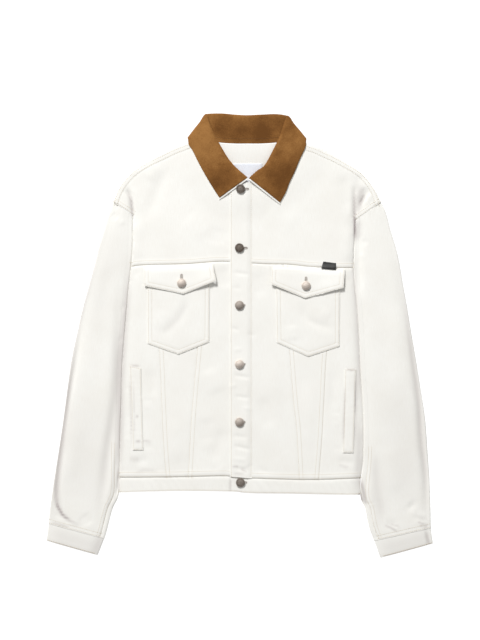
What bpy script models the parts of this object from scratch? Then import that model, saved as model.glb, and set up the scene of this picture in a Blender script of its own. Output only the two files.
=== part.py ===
"""Denim trucker jacket with a brushed collar, buttoned up and laid flat on its back.

Sizes are in millimetres until an object is made, which is in metres. +X is to the right of someone
looking down on the jacket, +Y runs from the hem to the collar, and +Z goes up from the floor. The
origin is on the floor under the middle of the jacket.

The body and each sleeve are flattened tubes. Each is first one outer face, made of points and
triangles, and each cut piece is the share of that face inside its seams, given its thickness. What
lies on a panel takes the panel's own points and moves them out.
"""
from math import acos, cos, exp, hypot, pi, sin, sqrt

import bpy
import numpy as np
from mathutils import Vector
from mathutils.bvhtree import BVHTree
from mathutils.geometry import delaunay_2d_cdt

MM = 0.001

# Cloth and how it lies
CLOTH = 1.5            # one layer of denim
BAND_CLOTH = 1.8       # folded denim of the waistband and the cuffs
COLLAR_NAP = 1.1       # brushed cloth of the top collar
COLLAR_UNDER = 1.0
TAPE = 1.0             # woven label
SEAM_GAP = 0.3         # between two pieces at a seam
LIE_GAP = 0.3          # between a piece and what it lies on
FRONT_TOP = 6.8        # outer face of the fronts and sleeves above the floor
BAND_STEP = 0.6        # how far the waistband and the cuffs stand back from the panels
EDGE_ROLL = 4.5        # width of the rounded edge where a layer folds under
EDGE_ROWS = (1.2, EDGE_ROLL)
SEAM_CLEAR = 3.0       # no point of a rounded edge is this near a seam
SLEEVE_CLEAR = 0.6     # between a sleeve and the body
ARMHOLE_CLEAR = (0.5, -1.0)  # how far a sleeve's first ring is from the armhole, out and down

# The back neck is lifted by the collar that is folded under it, and the front neck with it
NECK_RAISE = 3.6
NECK_RAISE_FROM_Y = 290
NECK_RAISE_FULL_Y = 348
NECK_MIDDLE_X = 12
NECK_HALF_WIDTH = 145
NECK_FADE = 35
FRONT_NECK_LIFT = 2.4
FRONT_NECK_NEAR = 20
FRONT_NECK_FAR = 75

# Spacing of the points on the faces
FRONT_STEP = 25
BACK_STEP = 62
GRID_FROM = (-280.0, -300.0)  # the rows of points between them start and end off the body
GRID_TO = (280, 400)
FRONT_DOT_CLEAR = 0.45 * FRONT_STEP  # from a point to the nearest line
BACK_DOT_CLEAR = 0.4 * BACK_STEP
FOLD_REACH = 3          # half widths past which a fold's height is nothing

# Seams and edges: (x, y) along each line
SIDE_LEFT = ((-224, -292), (-224, -264), (-223, -231), (-222, -176), (-220, -120), (-219, -65),
             (-215, -9), (-211, 37), (-207, 83), (-202, 126), (-200, 150), (-199, 176),
             (-199, 204), (-198, 222))
SIDE_RIGHT = ((223, -296), (224, -265), (228, -231), (229, -176), (227, -120), (223, -65),
              (221, -9), (218, 37), (214, 83), (210, 124), (211, 150), (212, 176),
              (213, 198), (215, 213))
SHOULDER_LEFT = ((-235, 246), (-231, 257), (-222, 276), (-211, 291), (-200, 302), (-185, 311),
                 (-166, 324), (-148, 335), (-130, 345), (-112, 352), (-97, 356), (-84, 361),
                 (-72, 367))
SHOULDER_RIGHT = ((261, 246), (257, 254), (252, 265), (242, 279), (233, 291), (222, 302),
                  (204, 314), (185, 327), (166, 339), (148, 348), (134, 352), (121, 355),
                  (112, 359), (103, 365))
# Top end of each armhole, from the underside of the front's folded edge to the shoulder
ARMHOLE_LEFT = ((-198, 222), (-207, 228), (-216, 234), (-226, 240), (-235, 246))
ARMHOLE_RIGHT = ((215, 213), (226, 221), (238, 229.5), (250, 238), (261, 246))
SHOULDER_SEAM_LEFT = ((-226, 240), (-220, 258), (-209, 277), (-191, 296), (-166, 312),
                      (-139, 325), (-120, 334), (-102, 341), (-86, 347), (-70, 352))
SHOULDER_SEAM_RIGHT = ((101, 350), (112, 346), (122, 341), (139, 335), (152, 329), (176, 318),
                       (194, 308), (213, 297), (230, 281), (243, 260), (250, 238))
HEM = ((-224, -292), (-166, -290), (-102, -289), (-18, -290), (18, -293), (92, -294),
       (185, -296), (223, -296))
BAND_SEAM = ((-224, -264), (-120, -263), (-37, -261), (-18, -262), (15, -265), (130, -268),
             (224, -265))
YOKE_SEAM = ((-202, 126), (-179, 129), (-102, 131), (-48, 135), (-18, 135), (46, 131),
             (92, 130), (130, 126), (176, 124), (210, 124))
BACK_YOKE_SEAM = ((-200, 150), (211, 150))
LAP_EDGE_X = -18
LAP_EDGE_YS = (-310, -262, 135, 300)
PLACKET_STITCH_X = 22
PLACKET_STITCH_YS = (-262, 135, 300)
# Panel seams below the yoke, from the yoke seam down to the waistband
WEDGE_SEAMS = {
    "left_outer": ((-163, 128), (-150, -31), (-146, -120), (-142, -204), (-137, -264)),
    "left_inner": ((-65, 133), (-80, -31), (-88, -120), (-92, -176), (-97, -263)),
    "right_inner": ((80, 130), (91, -31), (98, -120), (104, -176), (109, -267)),
    "right_outer": ((176, 124), (161, -31), (156, -120), (152, -194), (146, -267)),
}

# What is sewn on the panels: corners of each piece
POCKETS = {
    "left": ((-171, 116), (-56, 119), (-57, -13), (-114, -36), (-171, -16)),
    "right": ((66, 113), (185, 109), (184, -21), (126, -40), (68, -14)),
}
FLAPS = {
    "left": ((-178, 126), (-102, 128.5), (-50, 132.5), (-44, 100), (-105, 76), (-177, 91)),
    "right": ((59, 127.5), (130, 123.5), (194, 121.5), (191, 87), (120, 68), (57, 94)),
}
WELTS = {
    "left": ((-204, -57), (-183, -61), (-179, -213), (-198, -213)),
    "right": ((194, -63), (215, -63), (210, -218), (190, -218)),
}
FLAP_BELOW_SEAM = 2
STAND_INSET = 2.0       # the button stand is this much smaller than the placket all round
YOKE_TAG = ((154, 136), (178, 133), (177, 120), (150, 123))
TAG_OVER_FLAP = 2.9     # how much higher the tag's lower end lies, on the flap
TAG_SEAM_Y = 131
TAG_SLOPE = 6           # length of the step up to the flap
FLAP_SLOPE = 10
NECK_LABEL = ((-15, 318), (41, 318), (41, 280), (-15, 280))

# Buttons: centre on the cloth they lie on
PLACKET_BUTTON_PLACES = ((1, 270), (-1, 161), (-1, 55), (-1, -54), (-1, -161), (0.8, -272.8))
FLAP_BUTTON_PLACES = {"left": (-108, 96), "right": (122, 91)}
BUTTON_RADIUS = 8.4
BUTTON_SIDES = 14
SEAT_TURNS = 8          # places round a button where the height of its seat is measured
ABOVE_ALL = 50
# radius as a share of the button's own, height: post, underside, edge, rim, sunk middle
BUTTON_PROFILE = ((0.45, 0.0), (0.45, 0.8), (0.9, 1.2), (1.0, 2.0), (0.94, 3.2), (0.8, 3.7),
                  (0.7, 3.2), (0.35, 3.5))

# Folds of the fronts: from, to, half width, height (troughs are below 0)
FRONT_FOLDS = (
    # x0, y0, x1, y1, width, height
    (-190, 214, -192, 135, 13, 1.7),
    (206, 204, 203, 135, 13, 1.7),
    (-130, 316, -152, 268, 12, -1.1),
    (-152, 268, -176, 205, 13, -1.3),
    (-150, 318, -172, 285, 12, 1.0),
    (-205, 268, -212, 258, 7, -1.2),
    (188, 300, 205, 225, 12, -1.2),
    (228, 272, 236, 256, 8, -1.3),
    (-104, 62, -112, 28, 8, -1.1),
    (-112, 28, -122, 5, 8, -0.9),
    (-140, 30, -136, -6, 12, 0.8),
    (116, 58, 131, 12, 8, -1.0),
    (131, 12, 160, 8, 8, -0.8),
    (96, 20, 98, -12, 12, 0.7),
    (-64, -150, -58, -205, 14, -0.9),
    (-122, -150, -118, -240, 15, 0.9),
    (58, -30, 66, -190, 16, 0.8),
    (128, -80, 130, -220, 14, 0.8),
    (-196, -236, -168, -230, 7, -0.8),
    (180, -232, 214, -238, 7, -0.9),
    (-36, 200, -46, 165, 14, -0.7),
    (48, 235, 110, 200, 22, 0.8),
    (-100, 220, -60, 180, 22, 0.7),
)
SLEEVE_FOLDS = (
    (-224, 68, -228, -80, 8, -1.5),
    (-228, -80, -243, -210, 8, -1.8),
    (-243, -210, -258, -330, 8, -1.7),
    (-338, -245, -338, -300, 9, -1.4),
    (-338, -300, -314, -342, 9, -1.6),
    (-300, -150, -318, -280, 15, 0.9),
    (-268, 60, -286, -110, 18, 0.9),
    (-246, 130, -256, 20, 14, -0.7),
    (-290, -330, -276, -352, 8, -0.8),
    (322, -70, 338, -215, 9, -1.3),
    (338, -215, 347, -300, 9, -1.5),
    (230, -235, 244, -290, 8, -1.5),
    (244, -290, 262, -365, 8, -1.5),
    (244, 215, 250, 70, 13, -1.2),
    (228, 190, 236, 80, 11, 0.9),
    (282, 60, 296, -130, 18, 0.9),
    (270, -200, 290, -300, 15, 0.8),
    (312, -312, 322, -322, 10, -1.2),
    (268, -350, 292, -352, 7, -0.9),
)

# Sleeves: each row is one ring, from the armhole to the end of the cuff
CUFF_ROW = 15
SLEEVES = {
    # outer x, outer y, inner x, inner y
    "left": ((-235, 246, -198, 222), (-246, 218, -199, 204), (-253, 191, -199, 176),
             (-262, 161, -200, 150), (-268, 135, -202, 126), (-279, 94, -207, 83),
             (-290, 50, -211, 37), (-299, 6, -215, -9), (-309, -46, -219, -65),
             (-316, -102, -220, -120), (-323, -155, -222, -176), (-332, -209, -223, -231),
             (-340, -266, -224, -292), (-345, -294, -236, -322), (-350, -322, -244, -352),
             (-353, -349, -251, -377), (-357, -381, -263, -408)),
    "right": ((261, 246, 215, 213), (270, 228, 213, 198), (279, 194, 212, 176),
              (289, 161, 211, 150), (295, 135, 210, 124), (302, 94, 214, 83),
              (310, 50, 218, 37), (317, 6, 221, -9), (326, -46, 223, -65),
              (335, -102, 227, -120), (343, -155, 229, -176), (347, -209, 228, -231),
              (351, -266, 223, -296), (352, -298, 232, -322), (353, -327, 238, -353),
              (354, -357, 248, -381), (358, -386, 259, -413)),
}
SLEEVE_SEAM_IN = 15     # top seam, in from the inner edge
SLEEVE_TOP_STEPS = 7
SLEEVE_BACK_STEPS = 4

# Collar: each row is one section, from the left front tip round the back to the right front tip.
# neck seam x, y; roll x, y; outer edge x, y; height of the roll; half the depth of the fold at the
# roll (below 0 where the fall is folded under); how far the fall leans out there; how it lies
COLLAR_ROWS = (
    (-2, 281, 14, 290, -38, 253, 11.8, 2.2, 0, "over"),
    (-22, 287, -6, 307, -48, 268, 11.6, 2.3, 0, "over"),
    (-41, 302, -20, 322, -65, 296, 11.4, 2.4, 0, "over"),
    (-58, 322, -35, 346, -78, 320, 11.4, 2.4, 0, "over"),
    (-66, 336, -50, 374, -89, 342, 11.4, 2.2, 0, "over"),
    (-70, 352, -57, 391, -95, 354, 10.8, 1.9, -0.6, "over"),
    (-70.5, 365, -61.5, 406.5, -96.8, 364.5, 9.4, 0.6, -1.6, "edge_over"),
    (-72, 367, -63, 408, -98, 366, 7.2, 0.2, -1.8, "edge"),
    (-70.5, 366, -61.5, 408.5, -96.5, 365.5, 5.3, -0.3, -1.6, "edge_under"),
    (-60, 361, -52, 409, -87, 360, 4.2, -1.4, 0, "under"),
    (-38, 355, -33, 409, -52, 357, 4.2, -1.6, 0, "under"),
    (-9, 353, -9, 407, -15, 357, 3.9, -1.6, 0, "under"),
    (15, 353, 15, 406, 15, 357, 3.9, -1.6, 0, "under"),
    (39, 353, 39, 407, 44, 357, 3.9, -1.6, 0, "under"),
    (68, 355, 63, 408, 81, 357, 4.2, -1.6, 0, "under"),
    (91, 360, 78, 407, 113, 357, 4.2, -1.4, 0, "under"),
    (101.5, 364, 87, 405.5, 122.5, 363, 5.3, -0.3, 1.6, "edge_under"),
    (103, 365, 88, 405, 124, 364, 7.2, 0.2, 1.8, "edge"),
    (101.5, 363, 86.7, 403.5, 123, 362.3, 9.4, 0.6, 1.6, "edge_over"),
    (101, 350, 81, 387, 121, 349, 10.8, 1.9, 0.6, "over"),
    (96, 334, 74, 366, 111, 324, 11.4, 2.2, 0, "over"),
    (84, 318, 61, 339, 102, 302, 11.4, 2.4, 0, "over"),
    (61, 302, 46, 313, 92, 281, 11.4, 2.4, 0, "over"),
    (41, 287, 31, 302, 85, 263, 11.6, 2.3, 0, "over"),
    (22, 283, 17, 289, 74, 244, 11.8, 2.2, 0, "over"),
)
# How far each kind of row is up from the back to the front
LIE_SHARES = {"over": 1.0, "edge_over": 0.85, "edge": 0.5, "edge_under": 0.15, "under": 0.0}
NAP_PRESSED = 0.5       # share of the nap left in the folds over the shoulders
NAP_PRESSED_REACH = 14
EDGE_CLEAR = 2.2        # further from the neck edge where the stand folds over the shoulder
COLLAR_STEPS = 2        # sections for each row above
UNDER_COLLAR_INSET = 0.05  # its edge shows round the top collar's
ROLL_WIDTH = 4.0        # from the roll to the first point on either side of it
NECK_CLEAR = 0.9        # between the collar and the neck edge of the yokes
FALL_FLOOR = 1.75       # middle of the fall above the floor where it is folded under
FALL_OVER = 2.1         # middle of the fall above the front it lies on
FALL_BESIDE_LAP = 16    # how far beside the placket the fall is held clear of it
FALL_SHARES = (0.68, 0.34, 0.0)
FALL_CURVE = 0.6        # below 1 the fall drops late, near its edge
FALL_FLAT = 0.6         # most that a folded-under fall rises from its lowest level
BODY_EDGE_NEAR = 3      # a collar point this near the body's outline still lies on it
ROLL_MOST = 0.4         # the point beside the roll takes at most this share of the stand

DENIM = (0.93, 0.91, 0.87)
BROWN = (0.31, 0.15, 0.05)
PEWTER = (0.25, 0.22, 0.2)
BLACK = (0.02, 0.02, 0.02)
WHITE = (0.85, 0.87, 0.9)


def clear_scene():
    for old in list(bpy.data.objects):
        bpy.data.objects.remove(old, do_unlink=True)


def make_material(name, colour, roughness, metallic=0.0):
    material = bpy.data.materials.new(name)
    material.use_nodes = True
    shader = material.node_tree.nodes["Principled BSDF"]
    shader.inputs["Base Color"].default_value = (*colour, 1.0)
    shader.inputs["Roughness"].default_value = roughness
    shader.inputs["Metallic"].default_value = metallic
    return material


def make_object(name, points, faces, material, place=(0, 0, 0)):
    """One named object: points in millimetres about its own place, on the jacket's empty."""
    mesh = bpy.data.meshes.new(name)
    mesh.from_pydata([tuple(np.array(p) * MM) for p in points], [], faces)
    mesh.materials.append(materials[material])
    mesh.validate()
    made = bpy.data.objects.new(name, mesh)
    made.location = Vector(place) * MM
    made.parent = jacket
    bpy.context.collection.objects.link(made)
    return made


def smooth(share):
    share = min(max(share, 0.0), 1.0)
    return share * share * (3 - 2 * share)


def to_segment(x, y, a, b):
    """Distance of a point from the straight line between a and b."""
    run = (b[0] - a[0], b[1] - a[1])
    length = run[0] ** 2 + run[1] ** 2
    share = ((x - a[0]) * run[0] + (y - a[1]) * run[1]) / length
    share = min(max(share, 0.0), 1.0)
    return hypot(x - a[0] - share * run[0], y - a[1] - share * run[1])


def to_line(x, y, line):
    return min(to_segment(x, y, a, b) for a, b in zip(line, line[1:]))


def inside(x, y, corners):
    """True where the point is within the closed outline."""
    found = False
    for (ax, ay), (bx, by) in zip(corners, corners[1:] + corners[:1]):
        if (ay > y) != (by > y) and x < (bx - ax) * (y - ay) / (by - ay) + ax:
            found = not found
    return found


def y_on(line, x):
    xs, ys = zip(*line)
    return np.interp(x, xs, ys)


def x_on(line, y):
    xs, ys = zip(*sorted(line, key=lambda p: p[1]))
    return np.interp(y, ys, xs)


def fold_height(x, y, folds):
    total = 0.0
    for x0, y0, x1, y1, width, height in folds:
        away = to_segment(x, y, (x0, y0), (x1, y1)) / width
        if away < FOLD_REACH:
            total += height * exp(-away * away)
    return total


# Levels of the flattened body ------------------------------------------------------------------

LEFT_EDGE_ROW, RIGHT_EDGE_ROW = (i for i, row in enumerate(COLLAR_ROWS) if row[-1] == "edge")
NECK_FRONT = tuple(row[0:2] for row in COLLAR_ROWS[RIGHT_EDGE_ROW:] + COLLAR_ROWS[:LEFT_EDGE_ROW + 1]
                   if row[-1] in ("over", "edge"))
NECK_BACK = tuple(row[0:2] for row in COLLAR_ROWS[LEFT_EDGE_ROW:RIGHT_EDGE_ROW + 1]
                  if row[-1] in ("under", "edge"))
FOLDED_EDGES = (SIDE_LEFT, SIDE_RIGHT, SHOULDER_LEFT, SHOULDER_RIGHT)


def back_level(x, y):
    """Outer face of the back above the floor, away from its folded edges."""
    along = smooth((y - NECK_RAISE_FROM_Y) / (NECK_RAISE_FULL_Y - NECK_RAISE_FROM_Y))
    across = smooth((NECK_HALF_WIDTH - abs(x - NECK_MIDDLE_X)) / NECK_FADE)
    return NECK_RAISE * along * across


def front_level(x, y):
    """Outer face of the fronts above the floor, away from their folded edges."""
    near = (FRONT_NECK_FAR - to_line(x, y, NECK_FRONT)) / (FRONT_NECK_FAR - FRONT_NECK_NEAR)
    return FRONT_TOP + FRONT_NECK_LIFT * smooth(near) + fold_height(x, y, FRONT_FOLDS)


def roll_share(distance):
    """0 on a folded edge, 1 where the cloth has come level."""
    share = min(distance / EDGE_ROLL, 1.0)
    return sqrt(max(1 - (1 - share) ** 2, 0.0))


def body_height(x, y, front):
    low, high = back_level(x, y), front_level(x, y)
    middle = (low + high) / 2
    share = roll_share(min(to_line(x, y, line) for line in FOLDED_EDGES))
    target = high if front else low
    return middle + (target - middle) * share


# Faces made of points and triangles --------------------------------------------------------------

def resample(line, step):
    """The line's own points, with more between them where they are over a step apart."""
    points = []
    for a, b in zip(line, line[1:]):
        count = max(1, round(hypot(b[0] - a[0], b[1] - a[1]) / step))
        points += [(a[0] + (b[0] - a[0]) * i / count, a[1] + (b[1] - a[1]) * i / count)
                   for i in range(count)]
    return points + [line[-1]]


def inset_line(line, distance, side):
    """A line beside another, run on past both ends. side is 1 to the left of its direction."""
    result = []
    for i, point in enumerate(line):
        a = line[max(i - 1, 0)]
        b = line[min(i + 1, len(line) - 1)]
        run = Vector((b[0] - a[0], b[1] - a[1])).normalized()
        result.append((point[0] - run.y * distance * side, point[1] + run.x * distance * side))
    ends = []
    for a, b in ((result[1], result[0]), (result[-2], result[-1])):
        run = Vector((b[0] - a[0], b[1] - a[1])).normalized()
        ends.append((b[0] + run.x * 2 * EDGE_ROLL, b[1] + run.y * 2 * EDGE_ROLL))
    return [ends[0]] + result + [ends[1]]


def triangulate(outline, lines, dots):
    """Triangles that fill the outline and keep every line as an edge."""
    points, edges = [], []
    for line in [outline + outline[:1]] + lines:
        start = len(points)
        points += [Vector(p) for p in line]
        edges += [(start + i, start + i + 1) for i in range(len(line) - 1)]
    points += [Vector(p) for p in dots]
    flat, _, faces = delaunay_2d_cdt(points, edges, [], 0, 0.02)[:3]
    kept = []
    for face in faces:
        middle = sum((flat[i] for i in face), Vector((0, 0))) / 3
        if inside(middle.x, middle.y, outline):
            kept.append([flat[i] for i in face])
    return kept


def grid_dots(outline, lines, step, clear):
    """Points in staggered rows within the outline, clear of every line."""
    dots = []
    segments = [pair for line in [outline + outline[:1]] + lines for pair in zip(line, line[1:])]
    row, y = 0, GRID_FROM[1]
    while y < GRID_TO[1]:
        x = GRID_FROM[0] + (step / 2 if row % 2 else 0)
        while x < GRID_TO[0]:
            if inside(x, y, outline) and min(to_segment(x, y, a, b) for a, b in segments) > clear:
                dots.append((x, y))
            x += step
        y += step * sqrt(3) / 2
        row += 1
    return dots


class Face:
    """An outer face of points and triangles, with the name of the piece each triangle is cut for."""

    def __init__(self):
        self.points, self.known, self.triangles, self.pieces, self.layers = [], {}, [], [], []

    def add_point(self, point, mark=""):
        key = (round(point[0], 2), round(point[1], 2), round(point[2], 2), mark)
        if key not in self.known:
            self.known[key] = len(self.points)
            self.points.append(np.array(point, dtype=float))
        return self.known[key]

    def add_triangle(self, corners, piece, layer, marks=("", "", "")):
        indices = [self.add_point(c, m) for c, m in zip(corners, marks)]
        if len(set(indices)) == 3:
            self.triangles.append(indices)
            self.pieces.append(piece)
            self.layers.append(layer)

    def finish(self):
        """Works out each point's outward direction, shared by points that lie together."""
        sums = {}
        for triangle in self.triangles:
            corners = [self.points[i] for i in triangle]
            normal = np.cross(corners[1] - corners[0], corners[2] - corners[0])
            normal /= np.linalg.norm(normal)
            for turn, point in enumerate(corners):
                one = corners[(turn + 1) % 3] - point
                other = corners[(turn + 2) % 3] - point
                opening = one @ other / (np.linalg.norm(one) * np.linalg.norm(other))
                key = tuple(np.round(point, 2))
                sums[key] = sums.get(key, 0) + normal * acos(min(max(opening, -1), 1))
        self.normals = []
        for point in self.points:
            total = sums[tuple(np.round(point, 2))]
            self.normals.append(total / np.linalg.norm(total))

    def pick(self, test):
        """Triangles whose middle passes the test, which gets x, y, the piece and the layer."""
        picked = []
        for triangle, piece, layer in zip(self.triangles, self.pieces, self.layers):
            middle = sum(self.points[i] for i in triangle) / 3
            if test(middle[0], middle[1], piece, layer):
                picked.append(triangle)
        return picked


def rim_inset(points, normals, triangles, distance):
    """How far each rim point moves into its piece, so that seams are left open by the gap."""
    uses = {}
    for triangle in triangles:
        for a, b in zip(triangle, triangle[1:] + triangle[:1]):
            uses[(a, b)] = True
    rim = [(a, b) for a, b in uses if (b, a) not in uses]
    sides = {}
    for a, b in rim:
        inward = np.cross((normals[a] + normals[b]) / 2, points[b] - points[a])
        inward /= np.linalg.norm(inward)
        for i in (a, b):
            sides.setdefault(i, []).append(inward)
    moves = {}
    for i, found in sides.items():
        total = sum(found)
        size = np.linalg.norm(total)
        spread = max(size / len(found), 0.5)
        moves[i] = total / max(size, 0.01) * distance / spread
    return rim, moves


def wall(name, face, triangles, outer, inner, material, inset=SEAM_GAP / 2):
    """A closed solid between the face moved out by outer and by inner.

    Either may be a function of x and y.
    """
    outer_at = outer if callable(outer) else lambda x, y: outer
    inner_at = inner if callable(inner) else lambda x, y: inner
    used = sorted({i for triangle in triangles for i in triangle})
    place = {i: n for n, i in enumerate(used)}
    rim, moves = rim_inset(face.points, face.normals, triangles, inset)
    count = len(used)
    points = []
    for level in (outer_at, inner_at):
        for i in used:
            point, normal = face.points[i], face.normals[i]
            points.append(point + normal * level(point[0], point[1]) + moves.get(i, 0))
    faces = [[place[i] for i in triangle] for triangle in triangles]
    faces += [[place[i] + count for i in reversed(triangle)] for triangle in triangles]
    for a, b in rim:
        faces.append([place[b], place[a], place[a] + count, place[b] + count])
    return make_object(name, points, faces, material)


# The body ---------------------------------------------------------------------------------------

def front_piece(x, y):
    """Which cut piece a place on the front belongs to."""
    if y > y_on(SHOULDER_SEAM_LEFT if x < NECK_MIDDLE_X else SHOULDER_SEAM_RIGHT, x):
        if x < NECK_FRONT[-2][0] or x > NECK_FRONT[1][0]:
            return "back_yoke"
    side = "left" if x < LAP_EDGE_X else "right"
    if y > y_on(YOKE_SEAM, x):
        return "front_yoke_" + side
    if y < y_on(BAND_SEAM, x):
        return "waistband"
    from_inner = x - x_on(WEDGE_SEAMS[side + "_inner"], y)
    from_outer = x - x_on(WEDGE_SEAMS[side + "_outer"], y)
    if side == "left":
        from_inner, from_outer = -from_inner, -from_outer
    if from_inner < 0:
        return "front_centre_" + side
    return ("front_wedge_" if from_outer < 0 else "front_side_") + side


def back_piece(x, y):
    if y > BACK_YOKE_SEAM[0][1]:
        return "back_yoke"
    return "waistband" if y < y_on(BAND_SEAM, x) else "back_panel"


def body_outline(neck):
    """All round the body, from the left end of the hem, past the neck edge that is given."""
    line = list(HEM) + list(SIDE_RIGHT[1:]) + list(ARMHOLE_RIGHT[1:-1]) + list(SHOULDER_RIGHT)
    line += list(neck)[1:-1] + list(reversed(SHOULDER_LEFT)) + list(reversed(ARMHOLE_LEFT[1:-1]))
    return line + list(reversed(SIDE_LEFT[1:]))


def onto_seam(point, seams):
    """The point itself, or the nearest place on a seam that it all but touches."""
    nearest = min(seams, key=lambda seam: to_line(*point, seam))
    if to_line(*point, nearest) > SEAM_CLEAR:
        return point
    for a, b in zip(nearest, nearest[1:]):
        run = (b[0] - a[0], b[1] - a[1])
        share = ((point[0] - a[0]) * run[0] + (point[1] - a[1]) * run[1]) / (run[0] ** 2 + run[1] ** 2)
        spot = (a[0] + run[0] * share, a[1] + run[1] * share)
        if 0 < share < 1 and hypot(spot[0] - point[0], spot[1] - point[1]) < SEAM_CLEAR:
            return spot
    return point


def roll_lines(seams):
    """Lines along the rounded edges, with their points on the seams that they cross."""
    lines = []
    for distance in EDGE_ROWS:
        lines.append(inset_line(SIDE_LEFT, distance, -1))
        lines.append(inset_line(SIDE_RIGHT, distance, 1))
        lines.append(inset_line(SHOULDER_LEFT, distance, -1))
        lines.append(inset_line(SHOULDER_RIGHT, distance, 1))
    crossed = list(seams) + [HEM, ARMHOLE_LEFT, ARMHOLE_RIGHT]
    return [[onto_seam(point, crossed) for point in line] for line in lines]


def patch_outlines():
    groups = list(POCKETS.values()) + list(FLAPS.values()) + list(WELTS.values()) + [YOKE_TAG]
    return [list(corners) + [corners[0]] for corners in groups]


def build_body():
    """The outer face of the whole body: fronts on top, back below, joined at the folded edges."""
    face = Face()
    lap = [(LAP_EDGE_X, y) for y in LAP_EDGE_YS]
    stitch = [(PLACKET_STITCH_X, y) for y in PLACKET_STITCH_YS]
    seams = [YOKE_SEAM, BAND_SEAM, SHOULDER_SEAM_LEFT, SHOULDER_SEAM_RIGHT, lap, stitch]
    seams += list(WEDGE_SEAMS.values()) + patch_outlines()
    fine = [resample(line, FRONT_STEP) for line in seams] + roll_lines(seams)
    outline = body_outline(NECK_FRONT)
    dots = grid_dots(outline, fine, FRONT_STEP, FRONT_DOT_CLEAR)
    for corners in triangulate(outline, fine, dots):
        add_body_triangle(face, corners, True)
    seams = [BACK_YOKE_SEAM, BAND_SEAM, NECK_LABEL + NECK_LABEL[:1]]
    coarse = [resample(line, BACK_STEP) for line in seams] + roll_lines(seams)
    outline = body_outline(tuple(reversed(NECK_BACK)))
    dots = grid_dots(outline, coarse, BACK_STEP, BACK_DOT_CLEAR)
    for corners in triangulate(outline, coarse, dots):
        add_body_triangle(face, corners, False)
    face.finish()
    return face


def add_body_triangle(face, corners, front):
    """One triangle of the body, its outward side up on the fronts and down on the back."""
    middle = sum(corners, Vector((0, 0))) / 3
    (a, b, c) = corners
    anticlockwise = (b.x - a.x) * (c.y - a.y) - (b.y - a.y) * (c.x - a.x) > 0
    if anticlockwise != front:
        corners = (a, c, b)
    piece = front_piece(middle.x, middle.y) if front else back_piece(middle.x, middle.y)
    solid = [(p.x, p.y, body_height(p.x, p.y, front)) for p in corners]
    # The two fronts part at the lap edge, so the waistband is open there
    split = front and middle.x < LAP_EDGE_X
    marks = ["lap" if split and abs(p.x - LAP_EDGE_X) < 0.1 else "" for p in corners]
    face.add_triangle(solid, piece, "front" if front else "back", marks)


def build_panels(body):
    names = ["back_panel", "back_yoke"]
    for side in ("left", "right"):
        names += ["front_yoke_" + side, "front_centre_" + side, "front_wedge_" + side,
                  "front_side_" + side]
    for name in names:
        chosen = body.pick(lambda x, y, piece, layer: piece == name)
        wall(name, body, chosen, 0, -CLOTH, "denim")
    chosen = body.pick(lambda x, y, piece, layer: piece == "waistband")
    wall("waistband", body, chosen, -BAND_STEP, -BAND_STEP - BAND_CLOTH, "denim")


def pick_patch(body, corners, layer_wanted="front"):
    corners = tuple(corners)
    return body.pick(lambda x, y, piece, layer: layer == layer_wanted and inside(x, y, corners))


def build_closing(body):
    """Placket on the lapped front, and the button stand of the other front under it."""
    on_placket = body.pick(lambda x, y, piece, layer: layer == "front" and
                           LAP_EDGE_X < x < PLACKET_STITCH_X and y > y_on(BAND_SEAM, x))
    wall("placket", body, on_placket, LIE_GAP + CLOTH, LIE_GAP, "denim")
    under = -CLOTH - LIE_GAP
    wall("button_stand", body, on_placket, under, under - CLOTH, "denim", inset=STAND_INSET)


def flap_lift(side):
    """How far the flap is off the panel: under the yoke at its top edge, over the pocket below."""
    def lift(x, y):
        down = y_on(YOKE_SEAM, x) - FLAP_BELOW_SEAM - y
        return LIE_GAP + (CLOTH + LIE_GAP) * smooth(down / FLAP_SLOPE)
    return lift


def build_pockets(body):
    for side in ("left", "right"):
        wall("chest_pocket_" + side, body, pick_patch(body, POCKETS[side]),
             LIE_GAP + CLOTH, LIE_GAP, "denim")
        lift = flap_lift(side)
        wall("flap_" + side, body, pick_patch(body, FLAPS[side]),
             lambda x, y: lift(x, y) + CLOTH, lift, "denim")
        wall("welt_" + side, body, pick_patch(body, WELTS[side]),
             LIE_GAP + CLOTH, LIE_GAP, "denim")


def build_labels(body):
    def tag_lift(x, y):
        return LIE_GAP + TAG_OVER_FLAP * smooth((TAG_SEAM_Y - y) / TAG_SLOPE)
    wall("yoke_tag", body, pick_patch(body, YOKE_TAG),
         lambda x, y: tag_lift(x, y) + TAPE, tag_lift, "tape_black")
    under = -CLOTH - LIE_GAP
    wall("neck_label", body, pick_patch(body, NECK_LABEL, "back"), under, under - TAPE,
         "tape_white")


# The sleeves -------------------------------------------------------------------------------------

def ring_shares(width):
    """Places round one ring: distance from the inner edge, and which layer. Ends at the start."""
    left = EDGE_ROLL
    right = width - EDGE_ROLL
    top = [0.0, EDGE_ROWS[0], left]
    for i in range(SLEEVE_TOP_STEPS):
        top.append(SLEEVE_SEAM_IN + (right - SLEEVE_SEAM_IN) * i / SLEEVE_TOP_STEPS)
    top += [right, width - EDGE_ROWS[0], width]
    below = [width - EDGE_ROWS[0]]
    for i in range(SLEEVE_BACK_STEPS + 1):
        below.append(right + (left - right) * i / SLEEVE_BACK_STEPS)
    below.append(EDGE_ROWS[0])
    return [(d, True) for d in top] + [(d, False) for d in below]


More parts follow.
